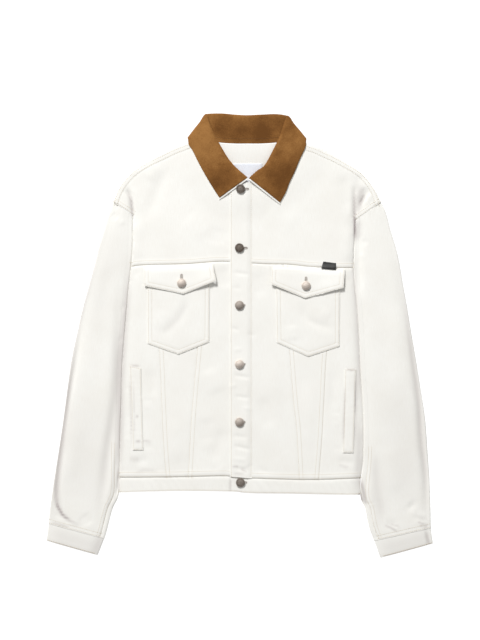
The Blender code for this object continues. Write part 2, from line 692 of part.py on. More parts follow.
def sleeve_rings(side):
    """Points of every ring of a sleeve, just clear of the body."""
    away = -1 if side == "left" else 1
    rings = []
    for row, (ox, oy, ix, iy) in enumerate(SLEEVES[side]):
        ix += away * SLEEVE_CLEAR
        if row == 0:
            out, down = away * ARMHOLE_CLEAR[0], ARMHOLE_CLEAR[1]
            ox, oy, ix, iy = ox + out, oy + down, ix + out, iy + down
        width = hypot(ox - ix, oy - iy)
        ring = []
        for distance, top in ring_shares(width):
            share = distance / width
            x, y = ix + (ox - ix) * share, iy + (oy - iy) * share
            level = FRONT_TOP + fold_height(x, y, SLEEVE_FOLDS)
            middle = FRONT_TOP / 2
            rise = roll_share(min(distance, width - distance))
            ring.append((x, y, middle + ((level if top else 0.0) - middle) * rise))
        rings.append(ring)
    return rings


def build_sleeve(side):
    """Upper sleeve over the top and round the outer edge, under sleeve on the inside, and cuff."""
    face = Face()
    rings = sleeve_rings(side)
    count = len(rings[0])
    first_seam = 3
    second_seam = count - 2 - SLEEVE_BACK_STEPS // 2
    for row in range(len(rings) - 1):
        for i in range(count):
            j = (i + 1) % count
            if row >= CUFF_ROW:
                piece = "cuff_" + side
            elif first_seam <= i < second_seam:
                piece = "sleeve_upper_" + side
            else:
                piece = "sleeve_under_" + side
            quad = [rings[row][i], rings[row][j], rings[row + 1][j], rings[row + 1][i]]
            if side == "right":
                quad.reverse()
            face.add_triangle(quad[:3], piece, "sleeve")
            face.add_triangle([quad[0], quad[2], quad[3]], piece, "sleeve")
    face.finish()
    for name in ("sleeve_upper_" + side, "sleeve_under_" + side):
        wall(name, face, face.pick(lambda x, y, piece, layer: piece == name), 0, -CLOTH, "denim")
    name = "cuff_" + side
    wall(name, face, face.pick(lambda x, y, piece, layer: piece == name),
         -BAND_STEP, -BAND_STEP - BAND_CLOTH, "denim")


# The collar --------------------------------------------------------------------------------------

def between(a, b, share):
    return tuple(p + (q - p) * share for p, q in zip(a, b))


def collar_sections():
    """The sections of COLLAR_ROWS with rounded ones between them."""
    main = [np.array(collar_section(row)) for row in COLLAR_ROWS]
    sections = []
    last = len(main) - 1
    for i in range(last):
        before, here, there, after = main[max(i - 1, 0)], main[i], main[i + 1], main[min(i + 2, last)]
        at_fold = "edge" in COLLAR_ROWS[i][-1] or "edge" in COLLAR_ROWS[i + 1][-1]
        steps = 1 if at_fold else COLLAR_STEPS
        for step in range(steps):
            t = step / steps
            sections.append((2 * here + (there - before) * t
                             + (2 * before - 5 * here + 4 * there - after) * t * t
                             + (3 * here - 3 * there + after - before) * t ** 3) / 2)
    return sections + [main[last]]


def neck_level(x, y, lie):
    """Middle of the stand where it is sewn to the neck."""
    low, high = back_level(x, y) + CLOTH / 2 + LIE_GAP, front_level(x, y) - CLOTH / 2
    return low + (high - low) * LIE_SHARES[lie]


def over_body(x, y):
    outline = body_outline(NECK_FRONT)
    return inside(x, y, outline) or to_line(x, y, outline + outline[:1]) < BODY_EDGE_NEAR


def fall_level(x, y, lie, height):
    """Middle of the fall's two layers, never in what it lies on."""
    if lie == "over":
        if not over_body(x, y):
            return height
        lowest = front_level(x, y) + FALL_OVER
        if LAP_EDGE_X - FALL_BESIDE_LAP < x < PLACKET_STITCH_X + FALL_BESIDE_LAP:
            lowest += LIE_GAP + CLOTH
        return max(height, lowest)
    if lie == "under":
        height = min(height, FALL_FLOOR + FALL_FLAT)
    return max(height, FALL_FLOOR)


def collar_section(row):
    """Points of one section: neck seam, stand, roll, fall, outer edge."""
    nx, ny, rx, ry, ex, ey, roll_z, depth, lean, lie = row
    neck, roll, edge = (nx, ny), (rx, ry), (ex, ey)
    stand_run = hypot(rx - nx, ry - ny)
    fall_run = hypot(rx - ex, ry - ey)
    share = LIE_SHARES[lie]
    clear = NECK_CLEAR + EDGE_CLEAR * (1 - abs(2 * share - 1))
    start = between(neck, roll, clear / stand_run)
    neck_z = neck_level(nx, ny, lie)
    points = [(*start, neck_z)]
    x, y = between(neck, roll, 0.5)
    points.append((x, y, (neck_z + roll_z - depth) / 2))
    x, y = between(roll, neck, min(ROLL_WIDTH / stand_run, ROLL_MOST))
    points.append((x - lean, y, roll_z - depth))
    points.append((rx, ry, roll_z))
    x, y = between(roll, edge, ROLL_WIDTH / fall_run)
    fall_z = roll_z + depth
    points.append((x + lean, y, fall_level(x, y, lie, fall_z)))
    edge_z = FALL_FLOOR + (front_level(ex, ey) + FALL_OVER - FALL_FLOOR) * share
    for along in FALL_SHARES:
        x, y = between(edge, roll, along)
        height = edge_z + (fall_z - edge_z) * along ** FALL_CURVE
        points.append((x, y, fall_level(x, y, lie, height)))
    return points


def build_collar():
    """Top collar on the outside of the roll, under collar on the inside of it."""
    face = Face()
    sections = [[tuple(point) for point in section] for section in collar_sections()]
    for first, second in zip(sections, sections[1:]):
        for i in range(len(first) - 1):
            quad = [first[i], second[i], second[i + 1], first[i + 1]]
            face.add_triangle(quad[:3], "collar", "collar")
            face.add_triangle([quad[0], quad[2], quad[3]], "collar", "collar")
    face.finish()
    everything = face.pick(lambda x, y, piece, layer: True)
    half = LIE_GAP / 2
    shoulder_folds = [(COLLAR_ROWS[i][0:2], COLLAR_ROWS[i][2:4])
                      for i in (LEFT_EDGE_ROW, RIGHT_EDGE_ROW)]

    def nap(x, y):
        away = min(to_line(x, y, fold) for fold in shoulder_folds)
        return half + COLLAR_NAP * (NAP_PRESSED + (1 - NAP_PRESSED) * smooth(away / NAP_PRESSED_REACH))

    wall("top_collar", face, everything, nap, half, "brushed")
    wall("under_collar", face, everything, -half, -half - COLLAR_UNDER, "denim",
         inset=UNDER_COLLAR_INSET)


# The buttons -------------------------------------------------------------------------------------

def button_mesh():
    points, faces = [], []
    for share, height in BUTTON_PROFILE:
        for i in range(BUTTON_SIDES):
            turn = 2 * pi * i / BUTTON_SIDES
            radius = BUTTON_RADIUS * share
            points.append((radius * cos(turn), radius * sin(turn), height))
    for ring in range(len(BUTTON_PROFILE) - 1):
        for i in range(BUTTON_SIDES):
            j = (i + 1) % BUTTON_SIDES
            a, b = ring * BUTTON_SIDES, (ring + 1) * BUTTON_SIDES
            faces.append([a + i, a + j, b + j, b + i])
    faces.append(list(reversed(range(BUTTON_SIDES))))
    top = (len(BUTTON_PROFILE) - 1) * BUTTON_SIDES
    faces.append([top + i for i in range(BUTTON_SIDES)])
    return points, faces


def seat_height(node, x, y):
    """Highest point of a node under a button."""
    mesh = bpy.data.objects[node].data
    tree = BVHTree.FromPolygons([v.co for v in mesh.vertices], [p.vertices for p in mesh.polygons])
    heights = []
    for radius in (0, 0.5, 1):
        for i in range(SEAT_TURNS):
            turn = 2 * pi * i / SEAT_TURNS
            reach = radius * BUTTON_RADIUS
            spot = Vector((x + reach * cos(turn), y + reach * sin(turn), ABOVE_ALL)) * MM
            hit = tree.ray_cast(spot, Vector((0, 0, -1)))[0]
            if hit:
                heights.append(hit.z / MM)
    return max(heights)


def build_buttons():
    points, faces = button_mesh()
    seats = [("placket", place) for place in PLACKET_BUTTON_PLACES[:-1]]
    seats.append(("waistband", PLACKET_BUTTON_PLACES[-1]))
    for number, (node, (x, y)) in enumerate(seats, 1):
        height = seat_height(node, x, y) + LIE_GAP
        make_object("button_%d" % number, points, faces, "pewter", (x, y, height))
    for side, (x, y) in FLAP_BUTTON_PLACES.items():
        height = seat_height("flap_" + side, x, y) + LIE_GAP
        make_object("flap_button_" + side, points, faces, "pewter", (x, y, height))


clear_scene()
materials = {
    "denim": make_material("denim", DENIM, 0.9),
    "brushed": make_material("brushed", BROWN, 0.95),
    "pewter": make_material("pewter", PEWTER, 0.35, 1.0),
    "tape_black": make_material("tape_black", BLACK, 0.7),
    "tape_white": make_material("tape_white", WHITE, 0.7),
}
jacket = bpy.data.objects.new("jacket_on_the_floor", None)
bpy.context.collection.objects.link(jacket)
body_face = build_body()
build_panels(body_face)
build_closing(body_face)
build_pockets(body_face)
build_labels(body_face)
for sleeve_side in ("left", "right"):
    build_sleeve(sleeve_side)
build_collar()
build_buttons()
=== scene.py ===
"""Denim trucker jacket with a brushed collar, buttoned up and laid flat, seen from straight above.

Sizes are in millimetres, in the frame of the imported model, and become metres when a mesh is made.
Left and right are those of someone looking down on the jacket.
"""
from math import cos, hypot, pi, radians, sin, sqrt

import bpy
import numpy as np
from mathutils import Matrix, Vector, noise
from mathutils.geometry import delaunay_2d_cdt
from mathutils.kdtree import KDTree


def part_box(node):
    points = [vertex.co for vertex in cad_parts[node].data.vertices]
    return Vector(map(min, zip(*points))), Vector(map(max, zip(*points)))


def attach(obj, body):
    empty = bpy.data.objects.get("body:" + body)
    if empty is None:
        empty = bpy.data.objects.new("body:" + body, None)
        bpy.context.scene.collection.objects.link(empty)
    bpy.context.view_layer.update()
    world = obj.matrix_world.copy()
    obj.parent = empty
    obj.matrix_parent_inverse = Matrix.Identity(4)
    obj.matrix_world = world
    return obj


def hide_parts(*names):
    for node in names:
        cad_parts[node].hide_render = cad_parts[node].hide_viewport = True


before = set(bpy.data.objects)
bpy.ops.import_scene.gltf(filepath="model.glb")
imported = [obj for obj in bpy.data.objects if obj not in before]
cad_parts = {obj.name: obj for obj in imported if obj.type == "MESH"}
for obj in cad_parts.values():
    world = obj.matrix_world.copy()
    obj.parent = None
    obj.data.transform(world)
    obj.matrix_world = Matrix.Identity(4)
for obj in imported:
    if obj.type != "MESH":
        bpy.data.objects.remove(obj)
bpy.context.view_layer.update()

MM = 0.001


# The body: back, yokes, fronts and waistband ------------------------------------------------------
# Undyed cotton denim of about 13 oz, cut flat and joined by felled seams that two rows of thread
# sew down. The jacket lies on its back, so the fronts lie on the back panel, and the cloth rolls
# over at the sides and the shoulders.

CLOTH = 1.5            # one layer of denim
BAND_CLOTH = 1.8       # folded denim of the waistband and the cuffs
BAND_CUT = (2.0, 0.82)  # the waistband goes round, and is cut straight though its front slants
YOKE_CUT = (1.0, 1.05)  # the back yoke is folded over the shoulders
SEAM_GAP = 0.08        # between two pieces at a seam, which is pressed all but shut
LIE_GAP = 0.3          # between a piece and what it lies on
FRONT_TOP = 6.8        # outer face of the fronts and sleeves above the floor
BAND_STEP = 0.6        # how far the waistband and the cuffs stand back from the panels
EDGE_ROLL = 3.4        # width of the rounded edge where a layer folds under
FRONT_STEP = 4.0       # spacing of the points of the fronts
BACK_STEP = 9.0        # and of the back, which is flat
EDGE_DOTS = (-4.5, -2.6, -1.3, -0.5, 0.5, 1.3, 2.6, 4.5)  # extra rows of points at a folded edge
SEAM_DOTS = (-2.6, -1.2, 1.2, 2.6)  # along a seam
ROW_DOTS = (-1.3, 0, 1.3)           # and along a row of stitches
STRIP_END_DOT = 2.8
DOT_CLEAR = 0.7        # such points stay this far from a line, and the others this share of a step
GRID_CLEAR = 0.6
JOIN_NEAR = 0.02       # points nearer than this are one
SHARP_ANGLE = 50       # degrees between faces from which an edge is sharp

NECK_RAISE = 3.6       # the back neck lies on the collar that is folded under it
NECK_RAISE_FROM_Y = 290
NECK_RAISE_FULL_Y = 348
NECK_MIDDLE_X = 12
NECK_HALF_WIDTH = 145
NECK_FADE = 35
FRONT_NECK_LIFT = 2.4
FRONT_NECK_NEAR = 20
FRONT_NECK_FAR = 75

SIDE_LEFT = ((-224, -292), (-224, -264), (-223, -231), (-222, -176), (-220, -120), (-219, -65),
             (-215, -9), (-211, 37), (-207, 83), (-202, 126), (-200, 150), (-199, 176),
             (-199, 204), (-198, 222))
SIDE_RIGHT = ((223, -296), (224, -265), (228, -231), (229, -176), (227, -120), (223, -65),
              (221, -9), (218, 37), (214, 83), (210, 124), (211, 150), (212, 176),
              (213, 198), (215, 213))
SHOULDER_LEFT = ((-235, 246), (-231, 257), (-222, 276), (-211, 291), (-200, 302), (-185, 311),
                 (-166, 324), (-148, 335), (-130, 345), (-112, 352), (-97, 356), (-84, 361),
                 (-72, 367))
SHOULDER_RIGHT = ((261, 246), (257, 254), (252, 265), (242, 279), (233, 291), (222, 302),
                  (204, 314), (185, 327), (166, 339), (148, 348), (134, 352), (121, 355),
                  (112, 359), (103, 365))
ARMHOLE_LEFT = ((-198, 222), (-207, 228), (-216, 234), (-226, 240), (-235, 246))
ARMHOLE_RIGHT = ((215, 213), (226, 221), (238, 229.5), (250, 238), (261, 246))
NECK_FRONT = ((103, 365), (101, 350), (96, 334), (84, 318), (61, 302), (41, 287), (22, 283),
              (-2, 281), (-22, 287), (-41, 302), (-58, 322), (-66, 336), (-70, 352), (-72, 367))
NECK_BACK = ((103, 365), (91, 360), (68, 355), (39, 353), (15, 353), (-9, 353), (-38, 355),
             (-60, 361), (-72, 367))
HEM = ((-224, -292), (-166, -290), (-102, -289), (-18, -290), (18, -293), (92, -294),
       (185, -296), (223, -296))
SHOULDER_SEAM_LEFT = ((-226, 240), (-220, 258), (-209, 277), (-191, 296), (-166, 312),
                      (-139, 325), (-120, 334), (-102, 341), (-86, 347), (-70, 352))
SHOULDER_SEAM_RIGHT = ((101, 350), (112, 346), (122, 341), (139, 335), (152, 329), (176, 318),
                       (194, 308), (213, 297), (230, 281), (243, 260), (250, 238))
YOKE_SEAM = ((-202, 126), (-179, 129), (-102, 131), (-48, 135), (-18, 135), (46, 131),
             (92, 130), (130, 126), (176, 124), (210, 124))
BAND_SEAM = ((-224, -264), (-120, -263), (-37, -261), (-18, -262), (15, -265), (130, -268),
             (224, -265))
BACK_YOKE_SEAM = ((-200, 150), (211, 150))
LAP_EDGE_X = -18
LAP_SPLIT = ((LAP_EDGE_X, -310), (LAP_EDGE_X, 300))
PLACKET_STITCH_X = 22
WEDGE_SEAMS = {
    "left_outer": ((-163, 128), (-150, -31), (-146, -120), (-142, -204), (-137, -264)),
    "left_inner": ((-65, 133), (-80, -31), (-88, -120), (-92, -176), (-97, -263)),
    "right_inner": ((80, 130), (91, -31), (98, -120), (104, -176), (109, -267)),
    "right_outer": ((176, 124), (161, -31), (156, -120), (152, -194), (146, -267)),
}

# Felled seams of the fronts: the line, the side its strip lies on (1 is to the left of its
# direction), how far from it the rows of stitches are, and how deep its relief is
FRONT_SEAMS = (
    (YOKE_SEAM, 1, (1.6, 8.2), 1.3),
    (BAND_SEAM, 1, (1.6, 9.6), 1.2),
    (SHOULDER_SEAM_LEFT, 1, (1.6, 7.6), 0.3),
    (SHOULDER_SEAM_RIGHT, 1, (1.6, 7.6), 0.3),
    (ARMHOLE_LEFT, -1, (2.2, 7.6), 0.8),
    (ARMHOLE_RIGHT, 1, (2.2, 7.6), 0.8),
    (WEDGE_SEAMS["left_outer"], 1, (1.2, 7.8), 0.45),
    (WEDGE_SEAMS["left_inner"], 1, (1.2, 7.8), 0.45),
    (WEDGE_SEAMS["right_inner"], 1, (1.2, 7.8), 0.45),
    (WEDGE_SEAMS["right_outer"], -1, (1.2, 7.8), 0.45),
)
FELL_RAISE = 0.5        # how much a felled strip stands up
FELL_SLOPE = 1.4
FELL_PAST_ROW = 2.6     # the strip ends this far past its last row
SEAM_DIP = 0.8          # depth and half width of the groove along a seam
SEAM_DIP_WIDTH = 1.2
ROW_DIP = 0.3           # the same under a row of stitches
ROW_DIP_WIDTH = 1.3
PUCKER = 0.3            # height, spacing and reach of the puckers that the thread pulls up
PUCKER_PITCH = 11.0
PUCKER_REACH = 9.0
SWELL = 0.45            # broad unevenness of cloth that lies loose
SWELL_SIZE = 58.0
ROPING = 0.4            # slanting waves of the waistband: height, length and lean
ROPING_LENGTH = 17.0
ROPING_LEAN = 0.55
ROPING_SWAY = (2.2, 41.0)      # how unevenly the waves are spaced, and over what length
ROPING_SWELL = (0.6, 0.4, 27.0)  # their least size, how much it changes, and over what length
ROPING_BELOW = (3.0, 5.0)      # how far below the seam they begin, and reach their full height
COVER_FADE = 3.0        # seams are pressed flat this far under what is sewn over them
SIDE_DROP = {"left": (1.3, 12.0), "right": (2.4, 11.0)}  # how much the sides thin out, how far in
NEEDLE = 0.1            # narrower triangles than this say nothing about the way a face looks

# Creases and soft folds of the fronts; a trough's height is below 0
FRONT_FOLDS = (
    # half width, height, then the places it runs through
    (13, 1.5, (-190, 220), (-193, 176), (-192, 130)),
    (13, 1.2, (204, 204), (203, 130)),
    (12, -1.3, (-130, 316), (-152, 268), (-176, 205)),
    (12, 1.0, (-150, 318), (-172, 285)),
    (7, -1.2, (-205, 268), (-212, 258)),
    (12, -1.2, (188, 300), (205, 225)),
    (8, -1.3, (228, 272), (236, 256)),
    (9, -0.9, (-97, 72), (-110, 36), (-150, -6)),
    (13, 0.5, (-134, 46), (-152, 8)),
    (8, -1.1, (112, 64), (126, 28), (180, 8)),
    (10, 0.5, (148, 44), (168, 34)),
    (4.5, -2.6, (-208, 276), (-201, 248), (-199, 218)),
    (9, -1.2, (-212, 304), (-203, 262)),
    (4, -3.0, (212, 280), (212, 240), (214, 205)),
    (8, -1.8, (236, 268), (222, 246), (215, 218)),
    (3, -1.8, (232, 258), (222, 240)),
    (9, -1.2, (222, 300), (216, 258)),
    (5, 0.8, (244, 262), (230, 240)),
    (12, -0.9, (-34, 128), (-28, 84)),
    (12, -0.8, (30, 120), (40, 66)),
    (16, 0.9, (-60, -60), (-40, -110)),
    (14, -0.9, (40, -110), (62, -176)),
    (12, -1.0, (-30, -170), (-52, -238)),
    (10, -0.8, (-166, -60), (-158, -118)),
    (10, -0.8, (176, -60), (168, -150)),
    (12, 0.7, (96, 20), (98, -12)),
    (14, -0.9, (-64, -150), (-58, -205)),
    (15, 0.9, (-122, -150), (-118, -240)),
    (16, 0.8, (58, -30), (66, -190)),
    (14, 0.8, (128, -80), (130, -220)),
    (7, -0.8, (-196, -236), (-168, -230)),
    (7, -0.9, (180, -232), (214, -238)),
    (14, -0.7, (-36, 200), (-46, 165)),
    (22, 0.8, (48, 235), (110, 200)),
    (22, 0.7, (-100, 220), (-60, 180)),
)
# Painted shade: where the pale cloth's colour is darkened to stand for shade, along folded edges, in
# creases and at the cuffs
PAINTED_SHADE_LINES = (
    # half width, amount, then the places it runs through
    (4, 0.6, (-250, 215), (-264, 161), (-291, 50), (-313, -46), (-322, -120), (-330, -170)),
    (5, 0.6, (-296, 20), (-319, -120), (-330, -194), (-338, -262), (-339, -300), (-330, -332),
     (-315, -346), (-290, -353)),
    (2.6, 0.9, (-340, -262), (-341, -300), (-338, -316), (-329, -333), (-314, -344), (-288, -353)),
    (40, 0.18, (-225, 240), (-250, 160), (-275, 60), (-290, -20)),
    (13, 0.4, (-318, -60), (-334, -194), (-345, -268), (-350, -330), (-356, -385)),
    (7, 0.6, (-203, 170), (-212, 60), (-220, -20), (-224, -80), (-224, -170), (-227, -240), (-232, -310)),
    (10, 0.35, (-222, 60), (-229, -80), (-238, -157), (-247, -213), (-253, -268), (-265, -355)),
    (4, 0.55, (300, 90), (316, -30), (330, -120), (335, -194), (343, -268), (343, -333), (336, -358)),
    (12, 0.2, (280, 190), (304, 70), (330, -90), (345, -190), (352, -268), (354, -350)),
    (3, 1.0, (223, -262), (228, -288), (235, -322)),
    (9, 0.3, (246, -200), (256, -290), (270, -368)),
    (46, 0.16, (-288, -90), (-290, -220), (-305, -350)),
    (40, 0.16, (300, -60), (306, -240), (312, -350)),
    (5, 0.3, (-202, 150), (-213, -9), (-218, -100), (-220, -200), (-222, -290)),
    (5, 0.45, (208, 170), (215, 37), (220, -65), (224, -160)),
    (8, 0.45, (222, -150), (220, -235), (219, -310)),
    (3, 0.9, (-211, 274), (-202, 248), (-199, 212)),
    (2.2, 1.0, (211.5, 278), (211.5, 240), (212.5, 200), (213, 160)),
    (2.0, 1.0, (212, 228), (212.5, 205), (213, 182)),
    (8, 0.6, (228, 284), (220, 252), (214, 214)),
    (2.5, 1.0, (232, 264), (225, 250), (220, 236)),
    (9, 0.5, (218, 218), (217, 196), (216, 170)),
    (9, 0.5, (-254, -366), (-270, -412)),
    (16, 0.3, (-368, -362), (-310, -380), (-250, -396)),
    (16, 0.34, (246, -400), (305, -386), (366, -368)),
    (3, 0.8, (344, -362), (351, -392)),
    (3, 0.6, (-366, -379), (-310, -395), (-256, -411)),
    (3, 0.6, (250, -416), (308, -400), (366, -384)),
    (3, 0.5, (-240, -291), (0, -292), (240, -297)),
    (7, 0.2, (-97, 70), (-112, 34), (-146, -4)),
    (1.5, 0.7, (-204, -58), (-202.5, -110), (-199.5, -216)),
    (1.2, 0.6, (-197.5, -76), (-196, -140), (-194.5, -212)),
    (2.0, 0.9, (-206, -56), (-194, -57), (-182, -60)),
    (2.5, 0.7, (-194, -150), (-187, -151)),
    (2.5, 0.8, (-194, -197), (-183, -196)),
    (1.8, 0.7, (-182, -196), (-162, -198)),
    (5, 0.35, (-208, -228), (-184, -231)),
    (2.0, 0.5, (216, -56), (215, -130), (210.5, -226)),
    (1.6, 0.8, (194.6, -86), (192.5, -150), (190, -214)),
    (1.6, 0.7, (213, -72), (212, -154)),
    (2.0, 0.9, (194, -62), (206, -65), (216, -62)),
    (2.0, 0.8, (326, -345), (340, -350), (351, -352)),
    (1.8, 0.7, (330, -353), (350, -357)),
    (2.0, 0.8, (266, -352), (280, -357), (293, -365)),
    (1.8, 0.6, (276, -350), (298, -355)),
    (2.0, 0.6, (-352, -345), (-330, -352), (-312, -356)),
    (3, 0.4, (-196, -256), (-178, -250), (-150, -252)),
    (3, 0.4, (180, -240), (204, -246)),
    (1.6, 0.9, (-18.6, -264), (-19, -276), (-19, -292)),
    (1.8, 0.7, (-16, -243), (-2, -243)),
    (1.8, 0.7, (0, -248), (14, -254)),
    (1.6, 0.5, (-14, -256), (10, -257)),
)
# And where it lies in deep shade besides
SHADE_LINES = (
    (2.6, 1.5, (221, -289), (223, -299), (228, -311)),
    (1.5, 0.9, (212, 232), (212.5, 205), (213, 180)),
    (2.0, 0.9, (-342, -306), (-337, -319), (-327, -334), (-314, -343)),
    (1.8, 0.6, (-226, -240), (-226, -270), (-225, -298)),
    (1.8, 0.5, (-202, 262), (-200, 240), (-199, 216)),
    (2.5, 0.4, (228, 256), (223, 244)),
)
SHADE_MOST = 2.2
FOLD_STEP = 14.0
FOLD_END = 0.3          # share of a fold's length over which it runs out at each end
# Small creases that only show close to
FRONT_CREASES = (
    # half width, height, then the places it runs through
    (3.5, -0.7, (-16, 116), (22, 111)),
    (3.5, -0.5, (-16, 88), (4, 86)),
    (3.5, -0.7, (-18, 14), (0, 8)),
    (4, -0.6, (12, 2), (30, -2)),
    (3.5, 0.5, (-14, -28), (6, -26)),
    (3.5, -0.8, (-14, -74), (22, -80)),
    (4, 0.5, (-22, -96), (-4, -92)),
    (3.5, -0.7, (-12, -113), (20, -117)),
    (3.5, 0.5, (4, -134), (26, -138)),
    (4, -0.6, (-16, -186), (16, -190)),
    (3.5, -0.9, (-14, -204), (22, -213)),
    (3.5, 0.5, (-16, -228), (14, -232)),
    (3.5, -0.9, (-12, -245), (20, -253)),
    (3, -0.5, (2, -250), (26, -240)),
    (3, -0.45, (-180, -120), (-160, -122)),
    (3, 0.4, (-180, -132), (-162, -136)),
    (3, -0.5, (-178, -206), (-158, -208)),
    (3, -0.45, (-212, -150), (-200, -153)),
    (3, 0.45, (-214, -190), (-201, -196)),
    (3, -0.4, (-213, -102), (-202, -96)),
    (3, -0.5, (170, -140), (186, -146)),
    (3, 0.4, (172, -164), (186, -166)),
    (3, -0.45, (174, -206), (188, -214)),
    (3, -0.4, (212, -118), (222, -126)),
    (4, -0.5, (-186, 120), (-196, 108)),
    (4, -0.5, (196, 108), (206, 96)),
    (5, 0.5, (-24, -240), (-40, -252)),
    (5, -0.5, (28, -246), (60, -256)),
)


def eased_between(a, b, c, d, t):
    """The place at share t from b to c, on the smooth curve through all four."""
    return (2 * b + (c - a) * t + (2 * a - 5 * b + 4 * c - d) * t * t
            + (3 * b - 3 * c + d - a) * t ** 3) / 2


def curved(line, step):
    """A smooth line through the given points, with a point about every step."""
    points = np.array(line, float)
    full = np.vstack((2 * points[0] - points[1], points, 2 * points[-1] - points[-2]))
    found = []
    for a, b, c, d in zip(full, full[1:], full[2:], full[3:]):
        count = max(1, round(hypot(*(c - b)[:2]) / step))
        found += [eased_between(a, b, c, d, i / count) for i in range(count)]
    return np.array(found + [points[-1]])


def straight(line, step):
    """The given points, with more between them where they are over a step apart."""
    line, found = np.array(line, float), []
    for a, b in zip(line, line[1:]):
        count = max(1, round(hypot(*(b - a)[:2]) / step))
        found += [a + (b - a) * i / count for i in range(count)]
    return np.array(found + [line[-1]])


def beside(line, distance):
    """The line moved to its left by a distance, which may be below 0."""
    run = np.gradient(line[:, :2], axis=0)
    run /= np.hypot(run[:, 0], run[:, 1])[:, None]
    return line[:, :2] + np.column_stack((-run[:, 1], run[:, 0])) * distance


def nearest(points, line):
    """Each point's distance from a line, how far along it that is, and its side: 1 is left."""
    best = np.full(len(points), 1e9)
    along, side = np.zeros(len(points)), np.zeros(len(points))
    start = 0.0
    for a, b in zip(line, line[1:]):
        run = b - a
        length = hypot(*run)
        rel = points - a
        share = np.clip(rel @ run / length ** 2, 0, 1)
        off = rel - share[:, None] * run
        away = np.hypot(off[:, 0], off[:, 1])
        closer = away < best
        best[closer] = away[closer]
        along[closer] = start + share[closer] * length
        side[closer] = np.sign(run[0] * rel[closer, 1] - run[1] * rel[closer, 0])
        start += length
    return best, along, side


def within(points, outline):
    """True for each point inside a closed outline."""
    x, y = points[:, 0], points[:, 1]
    found = np.zeros(len(points), bool)
    for (ax, ay), (bx, by) in zip(outline, np.roll(outline, -1, axis=0)):
        if ay != by:
            found ^= ((ay > y) != (by > y)) & (x < (bx - ax) * (y - ay) / (by - ay) + ax)
    return found


def smooth(share):
    """0 up to a share of 0, 1 from a share of 1, and an even slope between."""
    share = np.clip(share, 0, 1)
    return share * share * (3 - 2 * share)


def fold_height(points, folds):
    """Troughs and ridges along smooth lines, which run out towards both ends."""
    total = np.zeros(len(points))
    for width, height, *places in folds:
        line = curved(places, FOLD_STEP)
        away, along, _ = nearest(points, line)
        share = along / np.hypot(*np.diff(line, axis=0).T).sum()
        run = smooth(share / FOLD_END) * smooth((1 - share) / FOLD_END)
        total += height * run * np.exp(-(away / width) ** 2)
    return total


def swell(points, size, height, seed):
    """Broad, uneven rise and fall, the same each run."""
    lift = [noise.noise(Vector((x / size, y / size, seed))) for x, y in points]
    return height * np.array(lift)


def pucker(along, seed):
    """Uneven waves along a seam, from about -1 to 1."""
    turn = 2 * pi * along / PUCKER_PITCH
    slow = 0.6 + 0.4 * np.sin(turn / 7.3 + seed * 2.1)
    return slow * (0.6 * np.sin(turn + seed) + 0.4 * np.sin(1.63 * turn + 2.7 * seed))


def dipped(total, across, rows):
    """A height, less the dip under each row of stitches; across is the distance from the edge."""
    for row in rows:
        total = total - ROW_DIP * np.exp(-((across - row) / ROW_DIP_WIDTH) ** 2)
    return total


def felled(across, away, rows):
    """Height of a felled strip: its raised cloth, the groove at its edge and its stitch dips."""
    end = rows[-1] + FELL_PAST_ROW
    strip = smooth(across / FELL_SLOPE + 0.5) * smooth((end - across) / FELL_SLOPE / 2)
    groove = SEAM_DIP * np.exp(-(away / SEAM_DIP_WIDTH) ** 2)
    return dipped(FELL_RAISE * strip - groove, across, rows)


def seam_relief(points, line, side, rows, seed):
    """Height of a felled seam beside a line, with its puckers."""
    away, along, hand = nearest(points, line)
    length = np.hypot(*np.diff(line, axis=0).T).sum()
    total = felled(away * hand * side, away, rows)
    total += PUCKER * pucker(along, seed) * np.exp(-away / PUCKER_REACH)
    return total * ((along > 0) & (along < length))


def clear_of(points, places, distance):
    """The points that are further than a distance from every place."""
    tree = KDTree(len(places))
    for i, place in enumerate(places):
        tree.insert((*place, 0), i)
    tree.balance()
    return [tuple(p) for p in points if tree.find((*p, 0))[2] > distance]


def fill(outline, lines, dots, step):
    """Points and triangles that fill an outline and keep every line as edges."""
    points, edges = [], []
    for line in [np.vstack((outline, outline[:1]))] + lines:
        start = len(points)
        points += [tuple(p) for p in line]
        edges += [(start + i, start + i + 1) for i in range(len(line) - 1)]
    points += clear_of(dots[within(dots, outline)], points, DOT_CLEAR)
    low, high = outline.min(0), outline.max(0)
    row_step = step * sqrt(3) / 2
    grid = [(low[0] + step * (i + j % 2 / 2), low[1] + row_step * j)
            for j in range(int((high[1] - low[1]) / row_step) + 1)
            for i in range(int((high[0] - low[0]) / step) + 1)]
    grid = np.array(grid)
    points += clear_of(grid[within(grid, outline)], points, GRID_CLEAR * step)
    flat, _, faces = delaunay_2d_cdt([Vector(p) for p in points], edges, [], 0, JOIN_NEAR)[:3]
    flat, faces = np.array([tuple(p) for p in flat]), np.array(faces)
    return flat, faces[within(flat[faces].mean(1), outline)]


def facing(points, triangles, up):
    """The triangles turned so that they all face up, or all down."""
    a, b, c = (points[triangles[:, i], :2] for i in range(3))
    turn = (b[:, 0] - a[:, 0]) * (c[:, 1] - a[:, 1]) - (b[:, 1] - a[:, 1]) * (c[:, 0] - a[:, 0])
    wrong = (turn > 0) != up
    triangles = triangles.copy()
    triangles[wrong] = triangles[wrong][:, ::-1]
    return triangles


def rows_beside(line, distances):
    """The points of a line moved to its left by each distance in turn."""
    return np.vstack([beside(line, d) for d in distances])


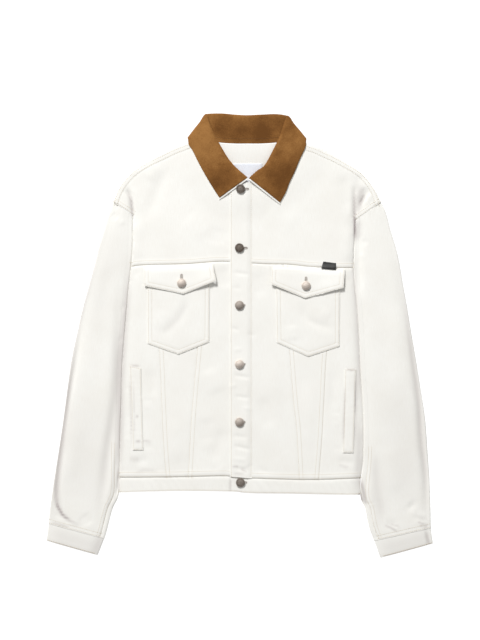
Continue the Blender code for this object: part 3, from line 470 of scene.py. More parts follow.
def front_base(points):
    """Outer face of the fronts without their seams, away from the folded edges."""
    near = (FRONT_NECK_FAR - nearest(points, NECK_LINE)[0]) / (FRONT_NECK_FAR - FRONT_NECK_NEAR)
    level = FRONT_TOP + FRONT_NECK_LIFT * smooth(near)
    level += fold_height(points, FRONT_FOLDS) + fold_height(points, FRONT_CREASES)
    for line, (drop, reach) in zip(FOLDED_EDGES, SIDE_DROP.values()):
        level -= drop * np.exp(-(nearest(points, line)[0] / reach) ** 2)
    return level + swell(points, SWELL_SIZE, SWELL, 3.1)


def back_level(points):
    """Outer face of the back above the floor, away from the folded edges."""
    along = smooth((points[:, 1] - NECK_RAISE_FROM_Y) / (NECK_RAISE_FULL_Y - NECK_RAISE_FROM_Y))
    return NECK_RAISE * along * smooth((NECK_HALF_WIDTH - abs(points[:, 0] - NECK_MIDDLE_X)) / NECK_FADE)


def rolled(points, low, high, front):
    """A layer's height, rounded down or up to the middle at the folded edges."""
    away = np.min([nearest(points, line)[0] for line in FOLDED_EDGES], axis=0)
    share = np.sqrt(np.clip(1 - (1 - np.clip(away / EDGE_ROLL, 0, 1)) ** 2, 0, 1))
    middle = (low + high) / 2
    return middle + ((high if front else low) - middle) * share


def y_on(line, x):
    xs, ys = np.array(line).T
    return np.interp(x, xs, ys)


def x_on(line, y):
    xs, ys = np.array(sorted(line, key=lambda p: p[1])).T
    return np.interp(y, ys, xs)


def front_piece(x, y):
    """Which cut piece each place on the front belongs to."""
    names = np.where(x < LAP_EDGE_X, "front_centre_left", "front_centre_right").astype("<U20")
    for side, away in (("left", -1), ("right", 1)):
        here = (x < LAP_EDGE_X) == (side == "left")
        past_inner = away * (x - x_on(WEDGE_CURVES[side + "_inner"], y)) > 0
        past_outer = away * (x - x_on(WEDGE_CURVES[side + "_outer"], y)) > 0
        names[here & past_inner] = "front_wedge_" + side
        names[here & past_outer] = "front_side_" + side
        names[here & (y > y_on(YOKE_CURVE, x))] = "front_yoke_" + side
    names[y < y_on(BAND_CURVE, x)] = "waistband"
    left = (x < NECK_FRONT[-2][0]) & (y > y_on(SHOULDER_CURVE_LEFT, x))
    right = (x > NECK_FRONT[1][0]) & (y > y_on(SHOULDER_CURVE_RIGHT, x))
    names[left | right] = "back_yoke"
    return names


def back_piece(x, y):
    names = np.where(y > BACK_YOKE_SEAM[0][1], "back_yoke", "back_panel").astype("<U20")
    names[y < y_on(BAND_CURVE, x)] = "waistband"
    return names


class Face:
    """An outer face: points, triangles, the piece each triangle is cut for, and the flat cloth."""

    def __init__(self, points, triangles, pieces, cloth):
        self.points, self.triangles, self.pieces = points, triangles, pieces
        self.cloth = cloth
        # Painted shade: how far the cloth's colour is darkened here, to stand for shade at folded edges, in
        # creases and in deep shade
        self.painted_shade = np.clip(fold_height(points[:, :2], PAINTED_SHADE_LINES), 0, 1)
        self.painted_shade += np.clip(fold_height(points[:, :2], SHADE_LINES), 0, SHADE_MOST)
        keys = np.round(points * 100).astype(np.int64)
        _, self.same = np.unique(keys, axis=0, return_inverse=True)
        self.same = self.same.ravel()
        a, b, c = (points[triangles[:, i]] for i in range(3))
        normal = np.cross(b - a, c - a)
        areas = np.linalg.norm(normal, axis=1)
        normal *= (smooth(areas / NEEDLE) / np.maximum(areas, 1e-9))[:, None]
        sums = np.zeros((self.same.max() + 1, 3))
        for here, one, other in ((0, b - a, c - a), (1, c - b, a - b), (2, a - c, b - c)):
            size = np.linalg.norm(one, axis=1) * np.linalg.norm(other, axis=1)
            angle = np.arccos(np.clip((one * other).sum(1) / np.maximum(size, 1e-9), -1, 1))
            np.add.at(sums, self.same[triangles[:, here]], normal * angle[:, None])
        sums /= np.maximum(np.linalg.norm(sums, axis=1), 1e-9)[:, None]
        self.normals = sums[self.same]


def rim_moves(face, triangles, distance):
    """Rim edges of the chosen triangles, and how far each point moves in to leave a seam open."""
    edges = np.vstack((triangles[:, [0, 1]], triangles[:, [1, 2]], triangles[:, [2, 0]]))
    size = len(face.points)
    codes = edges[:, 0] * size + edges[:, 1]
    rim = edges[~np.isin(codes, edges[:, 1] * size + edges[:, 0])]
    a, b = rim.T
    inward = np.cross(face.normals[a] + face.normals[b], face.points[b] - face.points[a])
    inward /= np.maximum(np.linalg.norm(inward, axis=1), 1e-9)[:, None]
    total, count = np.zeros((size, 3)), np.zeros(size)
    for ends in (a, b):
        np.add.at(total, ends, inward)
        np.add.at(count, ends, 1)
    length = np.linalg.norm(total, axis=1)
    spread = np.maximum(length / np.maximum(count, 1), 0.5)
    return rim, total / np.maximum(length, 0.01)[:, None] * distance / spread[:, None]


def grid_triangles(rings, count, backwards=False):
    """Two triangles for each cell of a grid of points, numbered ring by ring."""
    number = np.arange(rings * count).reshape(rings, count)
    a, b, c, d = number[:-1, :-1], number[:-1, 1:], number[1:, 1:], number[1:, :-1]
    if backwards:
        b, d = d, b
    return np.stack((np.stack((a, b, c), -1), np.stack((a, c, d), -1)), axis=2)


def make_piece(name, points, faces, material, cloth=None):
    """An object in metres, shaded smooth, with the flat cloth as its UV map."""
    mesh = bpy.data.meshes.new(name)
    mesh.from_pydata(np.array(points) * MM, [], faces)
    mesh.materials.append(material)
    mesh.shade_smooth()
    mesh.set_sharp_from_angle(angle=radians(SHARP_ANGLE))
    if cloth is not None:
        layer = mesh.uv_layers.new(name="cloth")
        corners = np.zeros(len(mesh.loops), np.int32)
        mesh.loops.foreach_get("vertex_index", corners)
        layer.data.foreach_set("uv", (np.array(cloth)[corners] * MM).ravel())
    piece = bpy.data.objects.new(name, mesh)
    bpy.context.collection.objects.link(piece)
    return piece


def wall(name, face, triangles, outer, inner, material, inset=SEAM_GAP / 2):
    """A closed shell between the face moved out by outer and by inner, at the chosen triangles."""
    used, placed = np.unique(triangles, return_inverse=True)
    placed = placed.reshape(-1, 3)
    rim, moves = rim_moves(face, triangles, inset)
    at = np.full(len(face.points), -1)
    at[used] = np.arange(len(used))
    levels = []
    for level in (outer, inner):
        lift = level(face.points[used]) if callable(level) else np.full(len(used), level)
        levels.append(face.points[used] + face.normals[used] * lift[:, None] + moves[used])
    count = len(used)
    faces = placed.tolist() + (placed[:, ::-1] + count).tolist()
    a, b = at[rim[:, 0]], at[rim[:, 1]]
    faces += np.column_stack((b, a, a + count, b + count)).tolist()
    cloth = np.vstack((face.cloth[used], face.cloth[used]))
    piece = make_piece(name, np.vstack(levels), faces, material, cloth)
    # The painted shade of the denim's colour, the same on both sides of the shell
    painted_shade = piece.data.attributes.new("painted_shade", "FLOAT", "POINT")
    painted_shade.data.foreach_set("value", np.tile(face.painted_shade[used], 2))
    return piece


def finish_cloth(piece, node, face, triangles, shares=(1, 1)):
    """Hides the solid that the cloth stands for and hangs the cloth on the root; it works out the size that
    the cloth was cut to, all round on a tube, but keeps it nowhere.

    shares are that size over what the cloth spans on its face, where it is folded round or slants.
    """
    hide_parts(node)
    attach(piece, "root")
    size = face.cloth[triangles].reshape(-1, 2).max(0) - face.cloth[triangles].reshape(-1, 2).min(0)
    size = size * shares


def linear(code):
    """A colour from sRGB hex to linear."""
    shares = [int(code[i:i + 2], 16) / 255 for i in (1, 3, 5)]
    return [s / 12.92 if s <= 0.04045 else ((s + 0.055) / 1.055) ** 2.4 for s in shares] + [1.0]


def feed(tree, node, inputs):
    """Sets each input of a node, or links it where an output is given."""
    for key, value in inputs.items():
        if isinstance(value, bpy.types.NodeSocket):
            tree.links.new(value, node.inputs[key])
        else:
            node.inputs[key].default_value = value


def add(tree, kind, inputs=(), **settings):
    """Adds a node, sets it, and feeds its inputs."""
    node = tree.nodes.new(kind)
    for name, value in settings.items():
        setattr(node, name, value)
    feed(tree, node, dict(inputs))
    return node


def new_material(name):
    material = bpy.data.materials.new(name)
    material.use_nodes = True
    return material, material.node_tree, material.node_tree.nodes["Principled BSDF"]


TWILL_PITCH = 1.9        # a real denim's ribs are 0.9 mm apart; drawn twice as coarse to show
TWILL_LEAN = 63.0        # degrees from the weft
SLUB = (1.1, 16.0)       # width and length of the uneven yarns
TONE_SIZE = 70.0
DENIM_LIGHT = "#F6F5F0"
DENIM_DARK = "#EDEAE3"
# The colour that painted shade darkens the denim towards
DENIM_SHADE_COLOUR = "#CFCAC6"


def ecru_denim():
    """Undyed cotton twill, washed once: off-white, quite matt, with faint ribs and uneven yarns, and
    painted shade that darkens it along folded edges, in creases and at the cuffs.
    """
    material, tree, shader = new_material("ecru_denim_twill")
    cloth = add(tree, "ShaderNodeUVMap", uv_map="cloth")
    ribs = add(tree, "ShaderNodeMapping", {"Vector": cloth.outputs[0], "Scale": (1000, 1000, 1),
                                           "Rotation": (0, 0, radians(TWILL_LEAN))})
    twill = add(tree, "ShaderNodeTexWave", {"Vector": ribs.outputs[0], "Scale": 2 * pi / 20 / TWILL_PITCH,
                                            "Distortion": 1.2, "Detail": 2.0, "Detail Scale": 1.5})
    yarns = add(tree, "ShaderNodeMapping", {"Vector": cloth.outputs[0],
                                            "Scale": (1000 / SLUB[0], 1000 / SLUB[1], 1)})
    slub = add(tree, "ShaderNodeTexNoise", {"Vector": yarns.outputs[0], "Scale": 1.0, "Detail": 3.0})
    wide = add(tree, "ShaderNodeMapping", {"Vector": cloth.outputs[0],
                                           "Scale": (1000 / TONE_SIZE, 1000 / TONE_SIZE, 1)})
    tone = add(tree, "ShaderNodeTexNoise", {"Vector": wide.outputs[0], "Scale": 1.0, "Detail": 4.0})
    part = add(tree, "ShaderNodeMath", {0: slub.outputs["Fac"], 1: tone.outputs["Fac"]},
               operation="MULTIPLY")
    weave = add(tree, "ShaderNodeMath", {0: twill.outputs["Fac"], 1: 0.25, 2: part.outputs[0]},
                operation="MULTIPLY_ADD")
    ramp = add(tree, "ShaderNodeValToRGB", {"Fac": weave.outputs[0]})
    ramp.color_ramp.elements[0].color = linear(DENIM_DARK)
    ramp.color_ramp.elements[0].position = 0.12
    ramp.color_ramp.elements[1].color = linear(DENIM_LIGHT)
    ramp.color_ramp.elements[1].position = 0.55
    height = add(tree, "ShaderNodeMath", {0: slub.outputs["Fac"], 1: 0.6, 2: twill.outputs["Fac"]},
                 operation="MULTIPLY_ADD")
    bump = add(tree, "ShaderNodeBump", {"Height": height.outputs[0], "Strength": 0.35, "Distance": 0.00015})
    # Painted shade: darkens the cloth's colour where the shade lines say
    painted_shade = add(tree, "ShaderNodeAttribute", attribute_name="painted_shade")
    shade_mixed = add(tree, "ShaderNodeMix", {"Factor": painted_shade.outputs["Fac"], 6: ramp.outputs["Color"],
                                         7: linear(DENIM_SHADE_COLOUR)}, data_type="RGBA",
                 clamp_factor=False)
    feed(tree, shader, {"Base Color": shade_mixed.outputs[2], "Normal": bump.outputs["Normal"],
                        "Roughness": 0.88, "Specular IOR Level": 0.25, "Sheen Weight": 0.12,
                        "Sheen Roughness": 0.5})
    return material


PLACKET = ((-18, -262), (22, -265.3), (22, 282.9), (-2, 281), (-18, 285.8))
POCKETS = {
    "left": ((-171, 116), (-56, 119), (-57, -13), (-114, -36), (-171, -16)),
    "right": ((66, 113), (185, 109), (184, -21), (126, -40), (68, -14)),
}
COVERED = [np.array(corners, float) for corners in (PLACKET, POCKETS["left"], POCKETS["right"])]
denim = ecru_denim()
NECK_LINE = curved(NECK_FRONT, 12)
FOLDED_EDGES = [curved(line, 6) for line in (SIDE_LEFT, SIDE_RIGHT, SHOULDER_LEFT, SHOULDER_RIGHT)]
YOKE_CURVE, BAND_CURVE = curved(YOKE_SEAM, FRONT_STEP), curved(BAND_SEAM, FRONT_STEP)
SHOULDER_CURVE_LEFT = curved(SHOULDER_SEAM_LEFT, FRONT_STEP)
SHOULDER_CURVE_RIGHT = curved(SHOULDER_SEAM_RIGHT, FRONT_STEP)
WEDGE_CURVES = {name: curved(line, FRONT_STEP) for name, line in WEDGE_SEAMS.items()}
SEAM_CURVES = [(curved(line, FRONT_STEP), side, rows, deep) for line, side, rows, deep in FRONT_SEAMS]


def body_outline(neck, step):
    """All round the body, from the left end of the hem, past the neck edge that is given."""
    stretches = (HEM, SIDE_RIGHT, ARMHOLE_RIGHT, SHOULDER_RIGHT, neck, SHOULDER_LEFT[::-1],
                 ARMHOLE_LEFT[::-1], SIDE_LEFT[::-1])
    return np.vstack([curved(line, step)[:-1] for line in stretches])


def front_level(points):
    """Outer face of the fronts, with their seams, which are flat under the pockets and placket."""
    relief = np.zeros(len(points))
    for number, (line, side, rows, deep) in enumerate(SEAM_CURVES):
        relief += deep * seam_relief(points, line, side, rows, number)
    x, y = points.T
    for outline in COVERED:
        away = nearest(points, np.vstack((outline, outline[:1])))[0]
        relief *= np.where(within(points, outline), 1 - smooth(away / COVER_FADE), 1)
    across = x + ROPING_LEAN * y
    sway, sway_length = ROPING_SWAY
    least, change, swell_length = ROPING_SWELL
    start, full = ROPING_BELOW
    waves = np.sin(2 * pi * across / ROPING_LENGTH + sway * np.sin(across / sway_length))
    waves *= least + change * np.sin(across / swell_length)
    below = smooth((y_on(BAND_CURVE, x) - start - y) / full)
    return front_base(points) + relief + ROPING * waves * below


def body_face():
    """The outer face of the whole body: fronts on top, back below, joined at the folded edges."""
    outline = body_outline(NECK_FRONT, FRONT_STEP)
    edge_rows = [rows_beside(line, EDGE_DOTS) for line in FOLDED_EDGES]
    seam_rows = []
    for line, side, rows, _ in SEAM_CURVES:
        past = SEAM_DOTS + tuple(rows[-1] + d for d in (*ROW_DOTS, STRIP_END_DOT))
        seam_rows.append(rows_beside(line, [side * d for d in past]))
    lap = straight(LAP_SPLIT, FRONT_STEP)
    lines = [seam[0] for seam in SEAM_CURVES[:4] + SEAM_CURVES[6:]] + [lap]
    flat, faces = fill(outline, lines, np.vstack(edge_rows + seam_rows), FRONT_STEP)
    faces = facing(flat, faces, True)
    top = rolled(flat, back_level(flat), front_level(flat), True)
    middle = flat[faces].mean(1)
    pieces = front_piece(middle[:, 0], middle[:, 1])
    # The two fronts part at the lap edge, so the points there are doubled
    on_lap = np.flatnonzero(abs(flat[:, 0] - LAP_EDGE_X) < 0.05)
    moved = np.arange(len(flat))
    moved[on_lap] = len(flat) + np.arange(len(on_lap))
    left = middle[:, 0] < LAP_EDGE_X
    faces[left] = moved[faces[left]]
    front = np.column_stack((np.vstack((flat, flat[on_lap])), np.concatenate((top, top[on_lap]))))
    outline = body_outline(NECK_BACK, FRONT_STEP)
    lines = [curved(BACK_YOKE_SEAM, BACK_STEP), curved(BAND_SEAM, BACK_STEP)]
    flat, back_faces = fill(outline, lines, np.vstack(edge_rows), BACK_STEP)
    back_faces = facing(flat, back_faces, False)
    low = rolled(flat, back_level(flat), front_level(flat), False)
    middle = flat[back_faces].mean(1)
    pieces = np.concatenate((pieces, back_piece(middle[:, 0], middle[:, 1])))
    points = np.vstack((front, np.column_stack((flat, low))))
    triangles = np.vstack((faces, back_faces + len(front)))
    return Face(points, triangles, pieces, points[:, :2].copy())


body = body_face()
PANELS = [("back_panel", "laid", ()), ("back_yoke", "folded", ())]  # how it is held, what it lies on
PANELS += [("front_%s_%s" % (cut, side), "laid", ("back_yoke" if cut == "yoke" else "back_panel",))
           for cut in ("yoke", "centre", "wedge", "side") for side in ("left", "right")]
for node, held, under in PANELS:
    chosen = body.triangles[body.pieces == node]
    panel = wall("cloth_" + node, body, chosen, 0, -CLOTH, denim)
    finish_cloth(panel, node, body, chosen,
                 YOKE_CUT if node == "back_yoke" else (1, 1))
chosen = body.triangles[body.pieces == "waistband"]
band = wall("cloth_waistband", body, chosen, -BAND_STEP, -BAND_STEP - BAND_CLOTH, denim)
finish_cloth(band, "waistband", body, chosen, BAND_CUT)


# The front closing --------------------------------------------------------------------------------
# The right front ends in a folded placket of the same denim that laps over the left one. It is sewn
# down along both long edges, and a plain button stand lies under it.

PLACKET_ROWS_X = (-15.8, 20.4)
PLACKET_FLAT_FROM_X = 12.0    # from here to its inner edge the fold thins out into the front
PLACKET_THIN = 0.75
PLACKET_THIN_WIDTH = 9
STAND_INSET = 2.0
PATCH_STEP = 3.2              # spacing of the points of sewn-on pieces
PATCH_INSET = 0.1             # how much smaller than its outline such a piece is, all round
PATCH_PUCKER = 0.8            # its puckers, as a share of a felled seam's
EDGE_ROUND = 0.55             # how much the edge of a sewn-on piece is rounded, and how far in
EDGE_ROUND_WIDTH = 0.9
EDGE_ROWS = (0.5, 1.2, 2.2)


def closed(corners, step=PATCH_STEP):
    return straight(list(corners) + [corners[0]], step)


def edge_round(away):
    """How much lower the face is at this distance from a sewn-down edge."""
    return EDGE_ROUND * np.exp(-(away / EDGE_ROUND_WIDTH) ** 2)


def patch_face(corners, level, rows=(), step=PATCH_STEP):
    """The outer face of a piece that lies on the panels, whose corners have straight edges."""
    outline = closed(corners, step)
    inward = [row + d for row in rows for d in ROW_DOTS] + list(EDGE_ROWS)
    dots = rows_beside(outline, inward + [-d for d in inward])
    flat, faces = fill(outline[:-1], [], dots, step)
    faces = facing(flat, faces, True)
    points = np.column_stack((flat, level(flat)))
    return Face(points, faces, None, flat)


def patch_relief(points, corners, rows, seed):
    """Rounded edges, the dips of the stitch rows and the puckers beside them."""
    away, along, _ = nearest(points[:, :2], closed(corners, 40))
    total = dipped(-edge_round(away), away, rows)
    return total + PATCH_PUCKER * PUCKER * pucker(along, seed) * np.exp(-away / PUCKER_REACH)


def sew_on(node, corners, level, outer, inner, material, rows=(), step=PATCH_STEP):
    """A closed shell on its own face, in place of the solid of the same name."""
    face = patch_face(corners, level, rows, step)
    piece = wall("cloth_" + node, face, face.triangles, outer, inner, material,
                 PATCH_INSET)
    finish_cloth(piece, node, face, face.triangles)


def placket_outer(points):
    """How far the placket stands over the fronts."""
    x = points[:, 0]
    thin = PLACKET_THIN * smooth((x - PLACKET_FLAT_FROM_X) / PLACKET_THIN_WIDTH)
    return dipped(LIE_GAP + CLOTH * (1 - thin), x, PLACKET_ROWS_X) - edge_round(abs(x - LAP_EDGE_X))


sew_on("placket", PLACKET, front_base, placket_outer, 0.1, denim,
       (2.2,), 2.8)
low_x, high_x = PLACKET[0][0] + STAND_INSET, PLACKET[1][0] - STAND_INSET
stand = ((low_x, PLACKET[0][1] + STAND_INSET), (high_x, PLACKET[1][1] + STAND_INSET),
         (high_x, PLACKET[2][1] - STAND_INSET), (low_x, PLACKET[3][1] - STAND_INSET))
sew_on("button_stand", stand, front_base, -CLOTH - LIE_GAP, -2 * CLOTH - LIE_GAP, denim,
       (), 8.0)


# The chest pockets and their flaps ----------------------------------------------------------------
# Pointed patch pockets of denim, sewn to the fronts by two rows of thread, each under a pointed
# flap that hangs from the yoke seam. A button holds the flap's middle, so its corners stand off.

FLAPS = {
    "left": ((-178, 126), (-102, 128.5), (-50, 132.5), (-44, 100), (-105, 76), (-177, 91)),
    "right": ((59, 127.5), (130, 123.5), (194, 121.5), (191, 87), (120, 68), (57, 94)),
}
# Where the loose lower edge of a flap stands off the pocket: place, reach, height
FLAP_LIFTS = {
    "left": ((-46, 98, 30, 4.2), (-74, 86, 20, 1.4), (-176, 90, 26, 1.8), (-140, 80, 20, 0.7),
             (-105, 73, 14, 1.0)),
    "right": ((59, 93, 28, 3.2), (88, 78, 20, 1.5), (190, 86, 28, 3.2), (158, 76, 20, 1.5),
              (121, 65, 14, 1.4)),
}
FLAP_BELOW_SEAM = 2
FLAP_SLOPE = 10
PATCH_ROWS = (1.8, 8.0)


def flap_lift(side):
    """How far the flap is off the front: at the yoke seam, over the pocket, and at its corners."""
    def lift(points):
        down = y_on(YOKE_SEAM, points[:, 0]) - FLAP_BELOW_SEAM - points[:, 1]
        total = LIE_GAP + (CLOTH + LIE_GAP) * smooth(down / FLAP_SLOPE)
        for x, y, reach, height in FLAP_LIFTS[side]:
            away = np.hypot(points[:, 0] - x, points[:, 1] - y)
            total = total + height * np.exp(-(away / reach) ** 2)
        return total
    return lift


def on_top(corners, lift, thickness, rows, seed):
    """The outer side of a sewn-on piece: its lift, its thickness and its own relief."""
    def outer(points):
        base = lift(points) if callable(lift) else lift
        return base + thickness + patch_relief(points, corners, rows, seed)
    return outer


for side, seed in (("left", 1.0), ("right", 4.0)):
    sew_on("chest_pocket_" + side, POCKETS[side], front_base,
           on_top(POCKETS[side], LIE_GAP, CLOTH, PATCH_ROWS, seed), LIE_GAP, denim,
           PATCH_ROWS)
    lift = flap_lift(side)
    sew_on("flap_" + side, FLAPS[side], front_base,
           on_top(FLAPS[side], lift, CLOTH, PATCH_ROWS, seed + 1), lift, denim,
           PATCH_ROWS)


# The hand pockets ---------------------------------------------------------------------------------
# A narrow welt of folded denim stands along the slanted mouth of each hand pocket, sewn down at
# both ends and along its sides.

WELTS = {
    "left": ((-204, -57), (-183, -61), (-179, -213), (-198, -213)),
    "right": ((194, -63), (215, -63), (210, -218), (190, -218)),
}
WELT_ROWS = (1.8,)

for side, seed in (("left", 7.0), ("right", 9.0)):
    sew_on("welt_" + side, WELTS[side], front_base,
           on_top(WELTS[side], LIE_GAP, CLOTH, WELT_ROWS, seed), LIE_GAP, denim,
           WELT_ROWS, 2.6)


# The tapes ----------------------------------------------------------------------------------------
# A small black tape is caught in the right yoke seam, and a pale one is sewn inside the back neck.
# Both are woven of filament yarn, with a low gloss, and both are left bare.

YOKE_TAG = ((154, 136), (178, 133), (177, 120), (150, 123))
NECK_LABEL = ((-15, 318), (41, 318), (41, 280), (-15, 280))
TAPE = 1.0
TAG_OVER_FLAP = 2.9
TAG_SEAM_Y = 131
TAG_SLOPE = 6
TAPE_PICK = 0.5          # spacing of the tape's weft, drawn about twice as coarse to show


def woven_tape(name, colour, roughness):
    """Filament tape: fine cross ribs, with a soft gloss along them."""
    material, tree, shader = new_material(name)
    cloth = add(tree, "ShaderNodeUVMap", uv_map="cloth")
    ribs = add(tree, "ShaderNodeMapping", {"Vector": cloth.outputs[0], "Scale": (1000, 1000, 1)})
    weft = add(tree, "ShaderNodeTexWave", {"Vector": ribs.outputs[0], "Scale": 2 * pi / 20 / TAPE_PICK / 2,
                                           "Distortion": 0.4}, bands_direction="Y")
    bump = add(tree, "ShaderNodeBump", {"Height": weft.outputs["Fac"], "Strength": 0.4,
                                        "Distance": 0.0001})
    mix = add(tree, "ShaderNodeMix", {"Factor": weft.outputs["Fac"], 6: linear(colour),
                                      7: [c * 1.25 for c in linear(colour)[:3]] + [1.0]},
              data_type="RGBA")
    feed(tree, shader, {"Base Color": mix.outputs[2], "Normal": bump.outputs["Normal"],
                        "Roughness": roughness})
    return material


def tag_lift(points):
    return LIE_GAP + TAG_OVER_FLAP * smooth((TAG_SEAM_Y - points[:, 1]) / TAG_SLOPE)


sew_on("yoke_tag", YOKE_TAG, front_base, on_top(YOKE_TAG, tag_lift, TAPE, (), 2.0), tag_lift,
       woven_tape("black_woven_tape", "#262624", 0.55), (), 1.6)
sew_on("neck_label", NECK_LABEL, back_level,
       on_top(NECK_LABEL, CLOTH + LIE_GAP, TAPE, (), 3.0), CLOTH + LIE_GAP,
       woven_tape("pale_woven_tape", "#E0E3EA", 0.5), (), 2.6)


# The sleeves and cuffs ----------------------------------------------------------------------------
# Each sleeve is cut in two, an upper and an under sleeve, felled together along the front and plain
# along the back, and set into the armhole. It lies flat beside the body, with a cuff of doubled
# denim at its end.

SLEEVE_CLEAR = 0.1
ARMHOLE_CLEAR = (0.0, -0.1)  # how far the first ring is from the armhole, out and down
SLEEVE_STEP = 4.0
SLEEVE_SEAM_IN = 8.5         # felled seam, in from the inner edge
SLEEVE_ROWS = (1.2, 6.6)
FELL_FROM = 430.0            # the felled seam only shows from here down to the cuff
FELL_FULL = 520.0
OUTER_DROP = (2.2, 14.0)     # how much the sleeve thins towards its outer edge, and how far in
INNER_DROP = (2.0, 16.0)     # and towards the body
CUFF_ROWS = (2.0, 8.0)
TOP_STEPS = 36
BACK_STEPS = 16
INNER_STEPS = 3
CUFF_PUCKER = 1.7            # the cloth is gathered a little into the cuff
ROUND_STEPS = (0.0, 0.5, 1.3, 2.6)
CUFF_ROW = 15
CUFF_OPENING_FROM_SEAM = -2   # the cuff opens on the under side, this many columns from the seam
SLEEVES = {
    # outer x, outer y, inner x, inner y
    "left": ((-235, 246, -198, 222), (-246, 218, -199, 204), (-253, 191, -199, 176),
             (-262, 161, -200, 150), (-268, 135, -202, 126), (-279, 94, -207, 83),
             (-291, 50, -211, 37), (-301, 6, -215, -9), (-312, -46, -219, -65),
             (-320, -102, -220, -120), (-327, -155, -222, -176), (-335, -209, -223, -231),
             (-344, -266, -224, -292), (-348, -294, -236, -322), (-352, -322, -244, -352),
             (-355, -349, -251, -377), (-359, -381, -263, -408)),
    "right": ((261, 246, 215, 213), (270, 228, 213, 198), (279, 194, 212, 176),
              (289, 161, 211, 150), (295, 135, 210, 124), (302, 94, 214, 83),
              (310, 50, 218, 37), (317, 6, 221, -9), (326, -46, 223, -65),
              (335, -102, 227, -120), (343, -155, 229, -176), (347, -209, 228, -231),
              (351, -266, 223, -296), (352, -298, 232, -322), (353, -327, 238, -353),
              (354, -357, 248, -381), (358, -386, 259, -413)),
}
SLEEVE_FOLDS = (
    # half width, height, then the places it runs through
    (8, -2.0, (-222, 120), (-228, -80), (-236, -157), (-245, -213), (-252, -268), (-264, -352)),
    (5, 1.3, (-229, -180), (-239, -268), (-254, -345)),
    (4.5, -2.6, (-290, 30), (-317, -120), (-328, -194), (-336, -262), (-337, -300), (-330, -333),
     (-316, -346), (-296, -352)),
    (6, -1.2, (-326, -180), (-337, -268), (-336, -310), (-320, -342), (-298, -350)),
    (2.5, -2.2, (-224, -250), (-226, -275), (-230, -304)),
    (15, 0.9, (-300, -150), (-318, -280)),
    (18, 0.9, (-268, 60), (-286, -110)),
    (14, -0.7, (-246, 130), (-256, 20)),
    (8, -0.8, (-290, -330), (-276, -352)),
    (6.5, -3.0, (312, -20), (330, -120), (335, -194), (343, -268), (343, -333), (336, -356)),
    (7, -1.4, (248, -225), (256, -290), (270, -365)),
    (4, 1.1, (236, -262), (243, -310), (254, -365)),
    (3.5, -3.6, (221, -272), (226, -300), (233, -326)),
    (8, -2.4, (222, 226), (218, 160), (221, 60)),
    (18, 0.9, (282, 60), (296, -130)),
    (15, 0.8, (270, -200), (290, -300)),
    (10, -1.2, (312, -312), (322, -322)),
    (7, -0.9, (268, -350), (292, -352)),
)
SLEEVE_CREASES = (
    # half width, height, then the places it runs through
    (4, -0.6, (-344, -330), (-326, -340)),
    (4, 0.6, (-318, -346), (-300, -352)),
    (4, -0.5, (-300, -340), (-288, -356)),
    (4, -0.5, (-212, 60), (-222, 40)),
    (4, -0.5, (-214, 0), (-226, -14)),
    (4, 0.6, (330, -330), (346, -338)),
    (4, -0.6, (318, -336), (346, -346)),
    (4, 0.5, (276, -352), (296, -360)),
    (5, -0.7, (226, 176), (236, 168)),
    (4, 0.5, (222, 150), (232, 140)),
    (6, -0.7, (-236, 226), (-226, 214)),
    (5, 0.6, (-214, 214), (-222, 204)),
    (2.2, -1.6, (344, -358), (350, -396)),
)


def ring_places(width):
    """Places round a ring from the felled seam: from the inner edge, on top or not, and round it."""
    far = width - EDGE_ROLL
    top = [SLEEVE_SEAM_IN + (far - SLEEVE_SEAM_IN) * i / TOP_STEPS for i in range(TOP_STEPS + 1)]
    top += [width - d for d in reversed(ROUND_STEPS)]
    below = [width - d for d in ROUND_STEPS[1:]]
    below += [far + (EDGE_ROLL - far) * i / BACK_STEPS for i in range(BACK_STEPS + 1)]
    below += list(reversed(ROUND_STEPS))
    near = list(ROUND_STEPS[1:])
    near += [EDGE_ROLL + (SLEEVE_SEAM_IN - EDGE_ROLL) * i / INNER_STEPS for i in range(INNER_STEPS)]
    return ([(d, 1, d) for d in top] + [(d, 0, 2 * width - d) for d in below]
            + [(d, 1, 2 * width + d) for d in near])


OUTER_EDGE = TOP_STEPS + len(ROUND_STEPS)
BACK_SEAM = OUTER_EDGE + len(ROUND_STEPS) + BACK_STEPS // 2


def sleeve_grid(side):
    """Points of the sleeve, ring by ring, the flat cloth, each ring's girth and the cuff's ring."""
    away = -1 if side == "left" else 1
    table = np.array(SLEEVES[side], float)
    table[:, 2] += away * SLEEVE_CLEAR
    table[0] += (away * ARMHOLE_CLEAR[0], ARMHOLE_CLEAR[1]) * 2
    rows = curved(table, SLEEVE_STEP)
    middle = (rows[:, :2] + rows[:, 2:]) / 2
    length = np.concatenate(([0], np.cumsum(np.hypot(*np.diff(middle, axis=0).T))))
    cuff = int(np.argmin(np.hypot(*(rows[:, :2] - table[CUFF_ROW, :2]).T)))
    points, cloth = [], []
    for (ox, oy, ix, iy), down in zip(rows, length):
        width = hypot(ox - ix, oy - iy)
        inward, on_top, round_it = np.array(ring_places(width)).T
        share = inward / width
        ring = np.column_stack((ix + (ox - ix) * share, iy + (oy - iy) * share))
        edge = np.minimum(share, 1 - share) * width
        up = FRONT_TOP + fold_height(ring, SLEEVE_FOLDS) + fold_height(ring, SLEEVE_CREASES)
        up += swell(ring, SWELL_SIZE, SWELL, 8.3)
        up -= OUTER_DROP[0] * np.exp(-((width - inward) / OUTER_DROP[1]) ** 2)
        up -= INNER_DROP[0] * np.exp(-(inward / INNER_DROP[1]) ** 2)
        up += sleeve_relief(inward - SLEEVE_SEAM_IN, down, length[cuff])
        rise = np.sqrt(np.clip(1 - (1 - np.clip(edge / EDGE_ROLL, 0, 1)) ** 2, 0, 1))
        points.append(np.column_stack((ring, up / 2 + up * (on_top - 0.5) * rise)))
        cloth.append(np.column_stack((round_it, np.full(len(inward), -down))))
    girth = 2 * np.hypot(rows[:, 0] - rows[:, 2], rows[:, 1] - rows[:, 3])
    return np.array(points), np.array(cloth), girth, cuff


